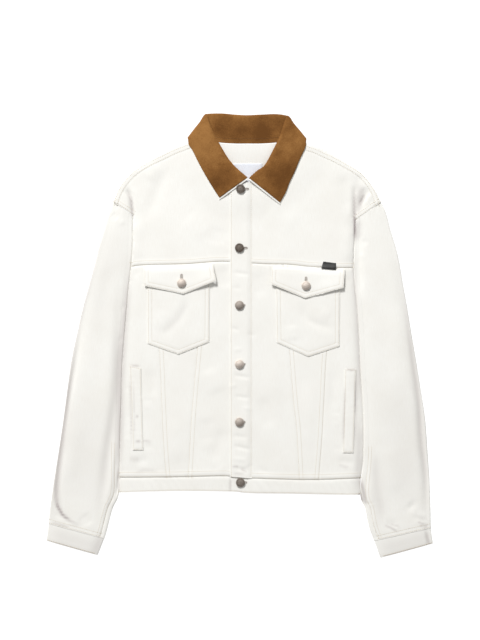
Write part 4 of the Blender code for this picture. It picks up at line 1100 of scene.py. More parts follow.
def sleeve_relief(across, down, cuff_down):
    """The felled seam along the sleeve, and the sewn edges at the cuff and the armhole."""
    waves = pucker(np.full(len(across), down), 1.7) * np.exp(-abs(across) / PUCKER_REACH)
    total = felled(across, across, SLEEVE_ROWS) + 2 * PUCKER * waves
    total = total * smooth((down - FELL_FROM) / (FELL_FULL - FELL_FROM))
    total = dipped(total * (down < cuff_down), cuff_down - down, CUFF_ROWS)
    near_cuff = np.exp(-abs(cuff_down - down) / PUCKER_REACH)
    near_armhole = np.exp(-down / PUCKER_REACH)
    gathers = CUFF_PUCKER * near_cuff * pucker(1.4 * across, 0.4) * (down < cuff_down)
    return total + PUCKER * (gathers + 0.7 * near_armhole * pucker(across, 2.4))


def tube_face(grid, cloth, girth, first, names, mirrored):
    """A face from rings of points, cut open at one place of the ring; names has each column's."""
    turned = np.array([i % grid.shape[1] for i in range(first, first + grid.shape[1] + 1)])
    again = np.arange(first, first + len(turned)) >= grid.shape[1]
    flat = cloth[:, turned].copy()
    flat[:, again, 0] += girth[:, None]
    triangles = grid_triangles(*flat.shape[:2])
    pieces = np.broadcast_to(np.array(names)[None, :, None], triangles.shape[:3]).ravel()
    triangles = triangles.reshape(-1, 3)
    if mirrored:
        triangles = triangles[:, ::-1]
    return Face(grid[:, turned].reshape(-1, 3), triangles, pieces, flat.reshape(-1, 2))


for side in ("left", "right"):
    grid, cloth, girth, cuff_ring = sleeve_grid(side)
    mirrored = side == "right"
    columns = grid.shape[1]
    names = ["sleeve_upper_" + side] * BACK_SEAM + ["sleeve_under_" + side] * (columns - BACK_SEAM)
    above = slice(None, cuff_ring + 1)
    face = tube_face(grid[above], cloth[above], girth[above], 0, names, mirrored)
    for node in ("sleeve_upper_" + side, "sleeve_under_" + side):
        chosen = face.triangles[face.pieces == node]
        if node == "sleeve_under_" + side:
            # Measured from the felled seam too, but round the other way
            face.cloth[:, 0] -= np.repeat(girth[above], columns + 1)
        sleeve = wall("cloth_" + node, face, chosen, 0, -CLOTH, denim)
        finish_cloth(sleeve, node, face, chosen)
    below = slice(cuff_ring, None)
    opening = BACK_SEAM + CUFF_OPENING_FROM_SEAM
    face = tube_face(grid[below], cloth[below], girth[below], opening, ["cuff_" + side] * columns,
                     mirrored)
    cuff_end = np.array(SLEEVES[side][-1], float).reshape(2, 2)

    def cuff_outer(points):
        return -BAND_STEP - edge_round(nearest(points[:, :2], cuff_end)[0])

    cuff = wall("cloth_cuff_" + side, face, face.triangles, cuff_outer,
                -BAND_STEP - BAND_CLOTH, denim)
    finish_cloth(cuff, "cuff_" + side, face, face.triangles)


# The collar ---------------------------------------------------------------------------------------
# The top collar is brown brushed cotton with a short nap, cut with the outside of the fall. The
# under collar is pale denim, and its edge shows just past the top collar's. The stand is sewn to
# the neck, and at the back the fall is folded under it.

COLLAR_NAP = 1.1
COLLAR_UNDER = 1.0
NECK_CLEAR = 0.9
ROLL_WIDTH = 4.0
FALL_FLOOR = 1.75
FALL_OVER = 1.5
FALL_CURVE = 0.6
FALL_FLAT = 0.6
EDGE_CLEAR = 2.2
BODY_EDGE_NEAR = 3
ROLL_MOST = 0.4
NAP_PRESSED = 0.5
NAP_PRESSED_REACH = 14
FALL_SHARES = (0.68, 0.34, 0.0)
FALL_BESIDE_LAP = 16
LIE_SHARES = {"over": 1.0, "edge_over": 0.85, "edge": 0.5, "edge_under": 0.15, "under": 0.0}
COLLAR_ROWS = (
    # neck seam x, y; roll x, y; outer edge x, y; roll's height; half depth of its fold; lean; how
    # it lies
    (-2, 281, 14, 290, -38, 253, 11.8, 2.2, 0, "over"),
    (-22, 287, -6, 307, -48, 268, 11.6, 2.3, 0, "over"),
    (-41, 302, -20, 322, -65, 296, 11.4, 2.4, 0, "over"),
    (-58, 322, -35, 346, -78, 320, 11.4, 2.4, 0, "over"),
    (-66, 336, -50, 374, -89, 342, 11.4, 2.2, 0, "over"),
    (-70, 352, -57, 391, -95.4, 351.5, 10.8, 1.9, -0.6, "over"),
    (-70.5, 365, -61.5, 406.5, -96.6, 361.5, 9.4, 0.6, -1.6, "edge_over"),
    (-72, 367, -63, 408, -97.2, 363.2, 7.2, 0.2, -1.8, "edge"),
    (-70.5, 366, -61.5, 408.5, -95.8, 363.2, 5.3, -0.3, -1.6, "edge_under"),
    (-60, 361, -52, 409, -87, 360, 4.2, -1.4, 0, "under"),
    (-38, 355, -33, 409, -52, 357, 4.2, -1.6, 0, "under"),
    (-9, 353, -9, 407, -15, 357, 3.9, -1.6, 0, "under"),
    (15, 353, 15, 406, 15, 357, 3.9, -1.6, 0, "under"),
    (39, 353, 39, 407, 44, 357, 3.9, -1.6, 0, "under"),
    (68, 355, 63, 408, 81, 357, 4.2, -1.6, 0, "under"),
    (91, 360, 78, 407, 113, 357, 4.2, -1.4, 0, "under"),
    (101.5, 364, 87, 405.5, 121.8, 361.2, 5.3, -0.3, 1.6, "edge_under"),
    (103, 365, 88, 405, 123.2, 361.4, 7.2, 0.2, 1.8, "edge"),
    (101.5, 363, 86.7, 403.5, 122.8, 359.6, 9.4, 0.6, 1.6, "edge_over"),
    (101, 350, 81, 387, 121.6, 347, 10.8, 1.9, 0.6, "over"),
    (96, 334, 74, 366, 111, 324, 11.4, 2.2, 0, "over"),
    (84, 318, 61, 339, 102, 302, 11.4, 2.4, 0, "over"),
    (61, 302, 46, 313, 92, 281, 11.4, 2.4, 0, "over"),
    (41, 287, 31, 302, 85, 263, 11.6, 2.3, 0, "over"),
    (22, 283, 17, 289, 74, 244, 11.8, 2.2, 0, "over"),
)
COLLAR_STEP = 3.0          # spacing of the sections along the collar
COLLAR_ACROSS = (3, 3, 3, 3, 6, 6, 6)  # steps between the points of one section
COLLAR_EDGE_ROUND = 0.8
UNDER_OUT = (2.2, -0.5)    # how far the under collar stands out, below the tips and elsewhere
STRIP_HIGH = 8.0           # the strip that covers the neck seam inside, and how much it is sunk
STRIP_SUNK = 0.5
STRIP_SLOPE = 1.2
TIP_NEAR = 0.5             # what is nearer than this to the collar's ends is below its tips
TOP_INSET = 0.6            # how much smaller the top collar is than the fall, all round
UNDER_EDGE_ROUND = 0.3     # how much the under collar's edge is rounded, and how far in
UNDER_EDGE_WIDTH = 0.8
NAP_SWELL = (17.0, 0.25)   # length and height of the unevenness of the brushed cloth
NAP_SWELL_FROM = 6         # which begins this far from its edge
NAP_GRAIN = 1.0            # size of the nap's tufts, drawn about three times too coarse to show
NAP_PATCH = 26.0           # and of the small patches where it lies another way
NAP_PATCH_SHARE = 0.45
# Where the nap is stroked up or down, and so much lighter or darker, with painted light and shade besides:
# the left leaf lit, and the tips, the back of the stand and the right leaf's roll shaded
NAP_STROKES_AND_SHADE = (
    # x, y, reach, tone
    (-68, 372, 34, 0.13),
    (-84, 345, 26, 0.07),
    (-60, 318, 26, 0.06),
    (-34, 288, 24, -0.10),
    (-50, 268, 18, -0.05),
    (104, 366, 26, 0.06),
    (78, 345, 22, 0.03),
    (98, 300, 26, -0.06),
    (74, 294, 22, -0.12),
    (76, 258, 18, -0.06),
    (-38, 382, 15, -0.16),
    (46, 376, 20, -0.20),
    (8, 372, 26, -0.11),
    (72, 392, 14, -0.08),
    (0, 400, 16, 0.05),
)
COLLAR_LIGHT = "#9A6D3C"
COLLAR_MIDDLE = "#80562B"
COLLAR_DARK = "#67421E"


def between(a, b, share):
    return a + (b - a) * share


def neck_level(place, lie):
    """Middle of the stand where it is sewn to the neck."""
    low, high = (CLOTH / 2 + LIE_GAP + back_level(place)[0], front_base(place)[0] - CLOTH / 2)
    return low + (high - low) * LIE_SHARES[lie]


def fall_level(x, y, lie, height):
    """Middle of the fall's two layers, never in what it lies on."""
    place = np.array(((x, y),))
    if lie == "over":
        on_body = within(place, BODY_OUTLINE)[0]
        if not on_body and nearest(place, BODY_OUTLINE)[0][0] > BODY_EDGE_NEAR:
            return height
        lowest = front_base(place)[0] + FALL_OVER
        if LAP_EDGE_X - FALL_BESIDE_LAP < x < PLACKET_STITCH_X + FALL_BESIDE_LAP:
            lowest += LIE_GAP + CLOTH
        return max(height, lowest)
    if lie == "under":
        height = min(height, FALL_FLOOR + FALL_FLAT)
    return max(height, FALL_FLOOR)


def collar_section(row):
    """Points of one section: neck seam, stand, roll, fall, outer edge."""
    neck, roll, edge = (np.array(row[i:i + 2], float) for i in (0, 2, 4))
    roll_z, depth, lean, lie = row[6:]
    stand_run, fall_run = hypot(*(roll - neck)), hypot(*(edge - roll))
    share = LIE_SHARES[lie]
    clear = NECK_CLEAR + EDGE_CLEAR * (1 - abs(2 * share - 1))
    neck_z = neck_level(neck[None], lie)
    places = [(*between(neck, roll, clear / stand_run), neck_z),
              (*between(neck, roll, 0.5), (neck_z + roll_z - depth) / 2)]
    x, y = between(roll, neck, min(ROLL_WIDTH / stand_run, ROLL_MOST))
    places += [(x - lean, y, roll_z - depth), (*roll, roll_z)]
    x, y = between(roll, edge, ROLL_WIDTH / fall_run)
    fall_z = roll_z + depth
    places.append((x + lean, y, fall_level(x, y, lie, fall_z)))
    edge_z = FALL_FLOOR + (front_base(edge[None])[0] + FALL_OVER - FALL_FLOOR) * share
    for along in FALL_SHARES:
        x, y = between(edge, roll, along)
        height = edge_z + (fall_z - edge_z) * along ** FALL_CURVE
        places.append((x, y, fall_level(x, y, lie, height)))
    return np.array(places)


def eased(table, counts):
    """Rows between the rows of a table, on smooth curves through them; counts has the steps."""
    rows = []
    last = len(table) - 1
    for i, count in enumerate(counts):
        four = [table[j] for j in (max(i - 1, 0), i, i + 1, min(i + 2, last))]
        rows += [eased_between(*four, step / count) for step in range(count)]
    return np.array(rows + [table[last]])


def collar_face():
    """The middle of the collar's two layers, with the flat cloth: along the neck, and across."""
    main = np.array([collar_section(row) for row in COLLAR_ROWS])
    gaps = [hypot(*d[:2]) for d in np.diff(main[:, -1], axis=0)]
    rolls = [hypot(*d[:2]) for d in np.diff(main[:, 3], axis=0)]
    sections = eased(main, [max(2, round(max(g, r) / COLLAR_STEP)) for g, r in zip(gaps, rolls)])
    grid = eased(sections.transpose(1, 0, 2), COLLAR_ACROSS).transpose(1, 0, 2)
    across = np.cumsum(np.linalg.norm(np.diff(grid, axis=1), axis=2), axis=1)
    across = np.hstack((np.zeros((len(grid), 1)), across))
    steps = np.linalg.norm(np.diff(grid, axis=0), axis=2).mean(1)
    along = np.concatenate(([0], np.cumsum(steps)))
    cloth = np.dstack((np.broadcast_to(along[:, None], across.shape), across))
    triangles = grid_triangles(*across.shape, backwards=True).reshape(-1, 3)
    return Face(grid.reshape(-1, 3), triangles, None, cloth.reshape(-1, 2)), across


def brushed_cotton():
    """Brown cotton with a brushed nap: deep and uneven in tone, with a soft sheen at the folds."""
    material, tree, shader = new_material("brown_brushed_cotton")
    place = add(tree, "ShaderNodeTexCoord").outputs["Object"]
    tufts = add(tree, "ShaderNodeTexNoise", {"Vector": place, "Scale": 1000 / NAP_GRAIN / 2, "Detail": 4.0,
                                             "Roughness": 0.65})
    patches = add(tree, "ShaderNodeTexNoise", {"Vector": place, "Scale": 1000 / NAP_PATCH, "Detail": 5.0,
                                               "Roughness": 0.6})
    # Per-point tones of the stroked nap, which also hold painted light and shade
    stroked_and_shaded = add(tree, "ShaderNodeAttribute", attribute_name="stroked_and_shaded")
    patchy = add(tree, "ShaderNodeMath", {0: patches.outputs["Fac"], 1: NAP_PATCH_SHARE,
                                          2: stroked_and_shaded.outputs["Fac"]}, operation="MULTIPLY_ADD")
    lie = add(tree, "ShaderNodeMath", {0: tufts.outputs["Fac"], 1: 0.35, 2: patchy.outputs[0]},
              operation="MULTIPLY_ADD")
    ramp = add(tree, "ShaderNodeValToRGB", {"Fac": lie.outputs[0]})
    ramp.color_ramp.elements[0].color = linear(COLLAR_DARK)
    ramp.color_ramp.elements[0].position = 0.24
    ramp.color_ramp.elements[1].color = linear(COLLAR_LIGHT)
    ramp.color_ramp.elements[1].position = 0.56
    middle = ramp.color_ramp.elements.new(0.40)
    middle.color = linear(COLLAR_MIDDLE)
    bump = add(tree, "ShaderNodeBump", {"Height": tufts.outputs["Fac"], "Strength": 0.6,
                                        "Distance": 0.0005})
    feed(tree, shader, {"Base Color": ramp.outputs["Color"], "Normal": bump.outputs["Normal"],
                        "Roughness": 0.95, "Specular IOR Level": 0.15, "Sheen Weight": 0.5,
                        "Sheen Roughness": 0.45, "Sheen Tint": linear("#C08A52")})
    return material


BODY_OUTLINE = body_outline(NECK_FRONT, 12)
BODY_OUTLINE = np.vstack((BODY_OUTLINE, BODY_OUTLINE[:1]))
collar, across = collar_face()
from_neck = across.ravel()
from_edge = (across.max(1)[:, None] - across).ravel()
from_tip = np.minimum(collar.cloth[:, 0], collar.cloth[:, 0].max() - collar.cloth[:, 0])
shoulder_folds = [np.array((row[0:2], row[2:4]), float) for row in COLLAR_ROWS if row[-1] == "edge"]


def nap_at(points):
    """How far the napped side of the top collar is from the middle of the two layers."""
    away = np.min([nearest(points[:, :2], fold)[0] for fold in shoulder_folds], axis=0)
    near_edge = np.minimum(from_edge, from_tip)
    nap = COLLAR_NAP * (NAP_PRESSED + (1 - NAP_PRESSED) * smooth(away / NAP_PRESSED_REACH))
    nap -= COLLAR_EDGE_ROUND * np.exp(-near_edge ** 2)
    nap -= STRIP_SUNK * (1 - smooth((from_neck - STRIP_HIGH) / STRIP_SLOPE + 0.5))
    uneven = NAP_SWELL[1] * swell(points[:, :2], NAP_SWELL[0], 1.0, 5.5)
    return LIE_GAP / 2 + nap + uneven * smooth(near_edge / NAP_SWELL_FROM)


def under_at(points):
    """How far the outer side of the under collar is from it, the other way."""
    near_edge = np.minimum(from_edge, from_tip)
    rounding = UNDER_EDGE_ROUND * np.exp(-(near_edge / UNDER_EDGE_WIDTH) ** 2)
    return -LIE_GAP / 2 - COLLAR_UNDER + rounding


top_collar = wall("cloth_top_collar", collar, collar.triangles, nap_at, LIE_GAP / 2, brushed_cotton(),
                  TOP_INSET)
# Per-point tones of the stroked nap and of painted light and shade on the collar
spots = np.array([tuple(vertex.co) for vertex in top_collar.data.vertices]) / MM
tones = sum(tone * np.exp(-(np.hypot(spots[:, 0] - x, spots[:, 1] - y) / reach) ** 2)
            for x, y, reach, tone in NAP_STROKES_AND_SHADE)
top_collar.data.attributes.new("stroked_and_shaded", "FLOAT", "POINT").data.foreach_set("value", tones)
finish_cloth(top_collar, "top_collar", collar, collar.triangles)
out = np.where(from_tip < TIP_NEAR, UNDER_OUT[0], UNDER_OUT[1])[:, None]
under_collar = wall("cloth_under_collar", collar, collar.triangles, -LIE_GAP / 2, under_at, denim, -out)
finish_cloth(under_collar, "under_collar", collar, collar.triangles)


# The buttons --------------------------------------------------------------------------------------
# Pressed metal shank buttons, riveted through the cloth: a rolled rim, a sunk ring and a low bare
# dome. All are antiqued, and some are rubbed brighter than others, those of the flaps the most.

PLACKET_BUTTON_PLACES = ((1, 270), (-1, 161), (-1, 55), (-1, -54), (-1, -161), (0.8, -272.8))
FLAP_BUTTON_PLACES = {"left": (-108, 96), "right": (122, 91)}
# How far each button is rubbed bright, and a painted highlight that makes its upper left side brighter
# still
PLACKET_BUTTON_WEAR_AND_HIGHLIGHT = ((0.15, 0.02), (0.12, 0.02), (0.40, 0.20), (0.66, 0.28), (0.49, 0.26), (0.23, 0.02))
FLAP_BUTTON_WEAR_AND_HIGHLIGHT = (0.66, 0.28)
RELIEF_WEAR = 0.3          # and how much more on the rim and the dome than in the hollows
BUTTON_RADIUS = 8.4
BUTTON_SIDES = 56
BUTTON_PROFILE = (
    # share of the radius, height, how worn it is: 1 is rubbed bright
    (0.42, 0.0, 0.0), (0.45, 0.8, 0.0), (0.80, 0.95, 0.0), (0.95, 1.15, 0.1), (0.99, 1.5, 0.2),
    (1.0, 2.0, 0.35), (0.99, 2.5, 0.5), (0.965, 2.85, 0.6), (0.92, 3.1, 0.65), (0.87, 3.2, 0.6),
    (0.82, 3.16, 0.35), (0.78, 3.05, 0.15), (0.74, 3.07, 0.15), (0.68, 3.22, 0.4), (0.58, 3.42, 0.5),
    (0.45, 3.62, 0.55), (0.30, 3.78, 0.6), (0.15, 3.88, 0.6),
)
BUTTON_TOP = 3.92
GRAIN = 0.35             # cast and tumbled surface, drawn at about its real size


def antiqued_metal(name, dark, bright):
    """Plated zinc, tumbled and blackened: dark in its hollows, rubbed bright on its rim and dome."""
    material, tree, shader = new_material(name)
    # Per-point wear, which also holds a painted highlight on each button's upper left side
    rubbed_and_lit = add(tree, "ShaderNodeAttribute", attribute_name="rubbed_and_lit")
    place = add(tree, "ShaderNodeTexCoord").outputs["Object"]
    grain = add(tree, "ShaderNodeTexNoise", {"Vector": place, "Scale": 1000 / GRAIN / 4, "Detail": 5.0,
                                             "Roughness": 0.7})
    blotch = add(tree, "ShaderNodeMath", {0: grain.outputs["Fac"], 1: 0.9, 2: -0.45},
                 operation="MULTIPLY_ADD")
    wear_and_highlight = add(tree, "ShaderNodeMath", {0: rubbed_and_lit.outputs["Fac"], 1: blotch.outputs[0]}, use_clamp=True,
               operation="ADD")
    colour = add(tree, "ShaderNodeMix", {"Factor": wear_and_highlight.outputs[0], 6: linear(dark), 7: linear(bright)},
                 data_type="RGBA")
    gloss = add(tree, "ShaderNodeMapRange", {"Value": wear_and_highlight.outputs[0], "To Min": 0.85, "To Max": 0.75})
    bump = add(tree, "ShaderNodeBump", {"Height": grain.outputs["Fac"], "Strength": 0.3,
                                        "Distance": 0.0001})
    feed(tree, shader, {"Base Color": colour.outputs[2], "Roughness": gloss.outputs[0],
                        "Normal": bump.outputs["Normal"], "Metallic": 1.0})
    return material


def button(node, place, wear_and_highlight):
    """A turned button on its solid's place, in the solid's own height."""
    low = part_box(node)[0][2] / MM
    points, faces, rubbed_and_lit = [], [], []
    for share, height, bright in BUTTON_PROFILE:
        for i in range(BUTTON_SIDES):
            turn = 2 * pi * i / BUTTON_SIDES
            reach = BUTTON_RADIUS * share
            points.append((place[0] + reach * cos(turn), place[1] + reach * sin(turn), low + height))
            # Painted highlight: brighter towards the upper left, where the light falls
            upper = share * (0.94 * sin(turn) - 0.34 * cos(turn))
            rubbed_and_lit.append(wear_and_highlight[0] + wear_and_highlight[1] * upper + RELIEF_WEAR * (bright - 0.4))
    for ring in range(len(BUTTON_PROFILE) - 1):
        for i in range(BUTTON_SIDES):
            j = (i + 1) % BUTTON_SIDES
            a, b = ring * BUTTON_SIDES, (ring + 1) * BUTTON_SIDES
            faces.append((a + i, a + j, b + j, b + i))
    points += [(*place, low), (*place, low + BUTTON_TOP)]
    rubbed_and_lit += [0.0, wear_and_highlight[0] + RELIEF_WEAR * 0.2]
    bottom, top = len(points) - 2, len(points) - 1
    last = (len(BUTTON_PROFILE) - 1) * BUTTON_SIDES
    for i in range(BUTTON_SIDES):
        j = (i + 1) % BUTTON_SIDES
        faces += [(j, i, bottom), (last + i, last + j, top)]
    piece = make_piece("metal_" + node, points, faces, pewter)
    piece.data.attributes.new("rubbed_and_lit", "FLOAT", "POINT").data.foreach_set("value", rubbed_and_lit)
    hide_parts(node)
    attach(piece, "root")


pewter = antiqued_metal("antiqued_pewter", "#5A4E44", "#FAF1E8")
for number, (place, wear_and_highlight) in enumerate(zip(PLACKET_BUTTON_PLACES, PLACKET_BUTTON_WEAR_AND_HIGHLIGHT), 1):
    button("button_%d" % number, place, wear_and_highlight)
for side, place in FLAP_BUTTON_PLACES.items():
    button("flap_button_" + side, place, FLAP_BUTTON_WEAR_AND_HIGHLIGHT)


# The sewing ---------------------------------------------------------------------------------------
# Every seam is topstitched with thick beige cotton thread, in rows of lock stitches that sink into
# the cloth. The same thread, wound across, binds the buttonholes. Two rows show on most seams.

STITCH_PITCH = 3.6        # real ones are 3.2 mm apart; a little coarser to show
STITCH_LENGTH = 2.9
THREAD_WIDTH = 0.85       # real thread is 0.5 mm thick; wider to show
STITCH_SEED = 7
BIND_PITCH = 0.75         # the thread that binds a buttonhole
BIND_LENGTH = 2.2
HOLE_LENGTHS = (15.0, 14.5, 10.6, 10.6, 10.6, 12.0)  # what shows of a buttonhole, from the button's
FLAP_HOLE_LENGTH = 16.5                              # middle: down the placket, and on the flaps
HOLE_WIDTH = 3.2
HOLE_FROM = 2.0           # the binding starts this far from the button's middle
HOLE_TURNS = 16           # steps round its end
HOLE_STEP = 1.0
HOLE_UP = 0.25            # how far it stands up
SLIT_PAST = 0.6           # the slit ends this far past the straight part of the binding
SLIT_PITCH = 0.6          # of the marks that shade the slit, their length and their width
SLIT_LENGTH = 1.2
SLIT_WIDTH = 0.8
ROW_STEP = 4.0            # spacing of the points of a row of stitches
ROW_SUNK = 0.1            # how far a row is sunk in its cloth
HEM_ROW = 2.4             # the row along the hem, in from its edge
CUFF_END_ROW = 2.2        # and along the cuff's end
PLACKET_ROWS_TOP = 279    # where the placket's rows end under the collar
BACK_YOKE_ROWS = (1.6, 7.6)
STRIP_ROW = 1.4           # the collar's row, past the strip that covers the neck seam

def topstitch_thread(name, colour, deep):
    """Thick ring-spun cotton thread: matt, with a slight change of tone along it."""
    material, tree, shader = new_material(name)
    place = add(tree, "ShaderNodeTexCoord").outputs["Object"]
    twist = add(tree, "ShaderNodeTexNoise", {"Vector": place, "Scale": 260.0, "Detail": 2.0})
    tone = add(tree, "ShaderNodeMix", {"Factor": twist.outputs["Fac"], 6: linear(deep),
                                       7: linear(colour)}, data_type="RGBA")
    feed(tree, shader, {"Base Color": tone.outputs[2], "Roughness": 0.8})
    return material


def stitch_tree(name, material):
    """Nodes that lay small rounded stitches along every edge line of a mesh."""
    tree = bpy.data.node_groups.new(name, "GeometryNodeTree")
    face = tree.interface
    face.new_socket("Rows", in_out="INPUT", socket_type="NodeSocketGeometry")
    for label in ("Pitch", "Length", "Width", "Turn"):
        face.new_socket(label, in_out="INPUT", socket_type="NodeSocketFloat")
    face.new_socket("Stitches", in_out="OUTPUT", socket_type="NodeSocketGeometry")
    given = add(tree, "NodeGroupInput").outputs
    lines = add(tree, "GeometryNodeMeshToCurve", {"Mesh": given["Rows"]})
    places = add(tree, "GeometryNodeCurveToPoints", {"Curve": lines.outputs[0],
                                                     "Length": given["Pitch"]}, mode="LENGTH")
    along = add(tree, "FunctionNodeAlignRotationToVector", {"Vector": places.outputs["Tangent"]}, axis="X",
                pivot_axis="Z")
    wobble = add(tree, "FunctionNodeRandomValue", {2: -0.08, 3: 0.08, "Seed": STITCH_SEED},
                 data_type="FLOAT")
    turn = add(tree, "ShaderNodeMath", {0: given["Turn"], 1: wobble.outputs[1]}, operation="ADD")
    spin = add(tree, "ShaderNodeCombineXYZ", {"Z": turn.outputs[0]})
    turned = add(tree, "FunctionNodeRotateRotation", {"Rotation": along.outputs[0],
                                                      "Rotate By": spin.outputs[0]}, rotation_space="LOCAL")
    size = add(tree, "ShaderNodeCombineXYZ", {"X": given["Length"], "Y": given["Width"],
                                              "Z": given["Width"]})
    bead = add(tree, "GeometryNodeMeshUVSphere", {"Segments": 6, "Rings": 4, "Radius": 0.5})
    laid = add(tree, "GeometryNodeInstanceOnPoints", {"Points": places.outputs[0],
                                                      "Instance": bead.outputs[0],
                                                      "Rotation": turned.outputs[0],
                                                      "Scale": size.outputs[0]})
    real = add(tree, "GeometryNodeRealizeInstances", {"Geometry": laid.outputs[0]})
    rounded = add(tree, "GeometryNodeSetShadeSmooth", {"Geometry": real.outputs[0]})
    done = add(tree, "GeometryNodeSetMaterial", {"Geometry": rounded.outputs[0], "Material": material})
    add(tree, "NodeGroupOutput", {"Stitches": done.outputs[0]})
    return tree


def sew(name, rows, tree, pitch, length, width, turn=0.0):
    """Stitches along rows of points, as one plain mesh."""
    points, edges = [], []
    for row in rows:
        edges += [(len(points) + i, len(points) + i + 1) for i in range(len(row) - 1)]
        points += [tuple(p) for p in np.array(row) * MM]
    mesh = bpy.data.meshes.new(name)
    mesh.from_pydata(points, edges, [])
    piece = bpy.data.objects.new(name, mesh)
    bpy.context.collection.objects.link(piece)
    maker = piece.modifiers.new("stitches", "NODES")
    maker.node_group = tree
    sockets = {item.name: item.identifier for item in tree.interface.items_tree}
    for label, value in (("Pitch", pitch * MM), ("Length", length * MM), ("Width", width * MM),
                         ("Turn", turn)):
        maker[sockets[label]] = value
    sewn = piece.evaluated_get(bpy.context.evaluated_depsgraph_get())
    result = bpy.data.meshes.new_from_object(sewn)
    piece.modifiers.clear()
    piece.data = result
    result.name = name
    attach(piece, "root")


def on_face(line, level):
    """Points of a row on a face, where its height is known for each place."""
    return np.column_stack((line, level(line) - ROW_SUNK))


def shown(row, hidden):
    """The stretches of a row that no outline in a list covers."""
    covered = np.zeros(len(row), bool)
    for outline in hidden:
        covered |= within(row, outline)
    stretches, run = [], []
    for point, under in zip(row, covered):
        if under:
            stretches.append(run)
            run = []
        else:
            run.append(point)
    stretches.append(run)
    return [np.array(run) for run in stretches if len(run) > 1]


def inset(corners, distance):
    """The corners of an outline moved in by a distance."""
    corners = np.array(corners, float)
    twist = sum(a[0] * b[1] - a[1] * b[0] for a, b in zip(corners, np.roll(corners, -1, axis=0)))
    moved = []
    for i, corner in enumerate(corners):
        before = corner - corners[i - 1]
        after = corners[(i + 1) % len(corners)] - corner
        before, after = before / hypot(*before), after / hypot(*after)
        half = before + after
        half /= hypot(*half)
        side = np.array((-half[1], half[0])) * (1 if twist > 0 else -1)
        moved.append(corner + side * distance / max(abs(before @ half), 0.3))
    return np.array(moved)


def patch_rows(corners, distances, level, sides):
    """Rows inside the chosen sides of a sewn-on piece, from its first chosen corner on."""
    rings = [inset(corners, distance) for distance in distances]
    return [on_face(straight([ring[i % len(ring)] for i in sides], ROW_STEP), level) for ring in rings]


def seat(corners, lift, seed):
    """The level of the rows on a sewn-on piece."""
    outer = on_top(corners, lift, CLOTH, (), seed)
    return lambda points: front_base(points) + outer(points) - ROW_DIP


covers = [np.array(corners, float) for group in (POCKETS, FLAPS, WELTS) for corners in group.values()]
covers += [np.array(PLACKET, float), np.array(YOKE_TAG, float)]
leaves = [np.array([row[4:6] for row in rows] + [row[2:4] for row in rows[::-1]], float)
          for rows in (COLLAR_ROWS[:8], COLLAR_ROWS[17:])]  # the fall on each front, down to its tip
front_rows = []
for line, side, rows, _ in SEAM_CURVES:
    for row in rows:
        for stretch in shown(beside(line, side * row), covers + leaves):
            front_rows.append(on_face(stretch, front_level))
for x in PLACKET_ROWS_X:
    line = straight(((x, PLACKET[0][1] + 1), (x, PLACKET_ROWS_TOP)), ROW_STEP)
    front_rows += [on_face(stretch, lambda p: front_base(p) + placket_outer(p))
                   for stretch in shown(line, leaves)]
for side, seed in (("left", 1.0), ("right", 4.0)):
    on_pocket = seat(POCKETS[side], LIE_GAP, seed)
    on_flap = seat(FLAPS[side], flap_lift(side), seed + 1)
    on_welt = seat(WELTS[side], LIE_GAP, seed)
    for row in patch_rows(POCKETS[side], PATCH_ROWS, on_pocket, range(1, 6)):
        front_rows += shown(row, [np.array(FLAPS[side], float)])
    front_rows += patch_rows(FLAPS[side], PATCH_ROWS, on_flap, range(2, 7))
    front_rows += patch_rows(WELTS[side], WELT_ROWS, on_welt, range(5))
front_rows.append(on_face(beside(curved(HEM, FRONT_STEP), HEM_ROW), lambda p: front_level(p) - BAND_STEP))

beige = topstitch_thread("beige_topstitch_thread", "#DACDB5", "#BFB094")
brown = topstitch_thread("brown_topstitch_thread", "#7A5430", "#5E3D1F")
stitches = stitch_tree("run_of_stitches", beige)
sew("stitching_fronts", front_rows, stitches, STITCH_PITCH, STITCH_LENGTH, THREAD_WIDTH)

sleeve_rows = []
for side in ("left", "right"):
    grid, cloth, girth, cuff_ring = sleeve_grid(side)
    top = slice(0, TOP_STEPS + 1)
    for row in SLEEVE_ROWS:
        line = [[np.interp(SLEEVE_SEAM_IN + row, flat[top, 0], ring[top, k]) for k in range(3)]
                for ring, flat in zip(grid[1:cuff_ring], cloth[1:cuff_ring])
                if -flat[0, 1] > FELL_FROM]
        sleeve_rows.append(np.array(line) - (0, 0, ROW_SUNK))
    down = -cloth[:, 0, 1]
    end = down[cuff_ring]
    for place, sunk in ((end - CUFF_ROWS[0], ROW_SUNK), (end - CUFF_ROWS[1], ROW_SUNK),
                        (down[-1] - CUFF_END_ROW, BAND_STEP)):
        line = [[np.interp(place, down, grid[:, i, k]) for k in range(3)] for i in range(OUTER_EDGE - 2)]
        sleeve_rows.append(np.array(line) - (0, 0, sunk))
back_rows = []
for distance in BACK_YOKE_ROWS:
    line = beside(curved(BACK_YOKE_SEAM, 6.0), distance)
    back_rows.append(np.column_stack((line, back_level(line) + ROW_SUNK)))
holes = [(x, y, 0.0) for x, y in PLACKET_BUTTON_PLACES]
holes += [(x, y, pi / 2) for x, y in FLAP_BUTTON_PLACES.values()]
hole_rows, slit_rows = [], []
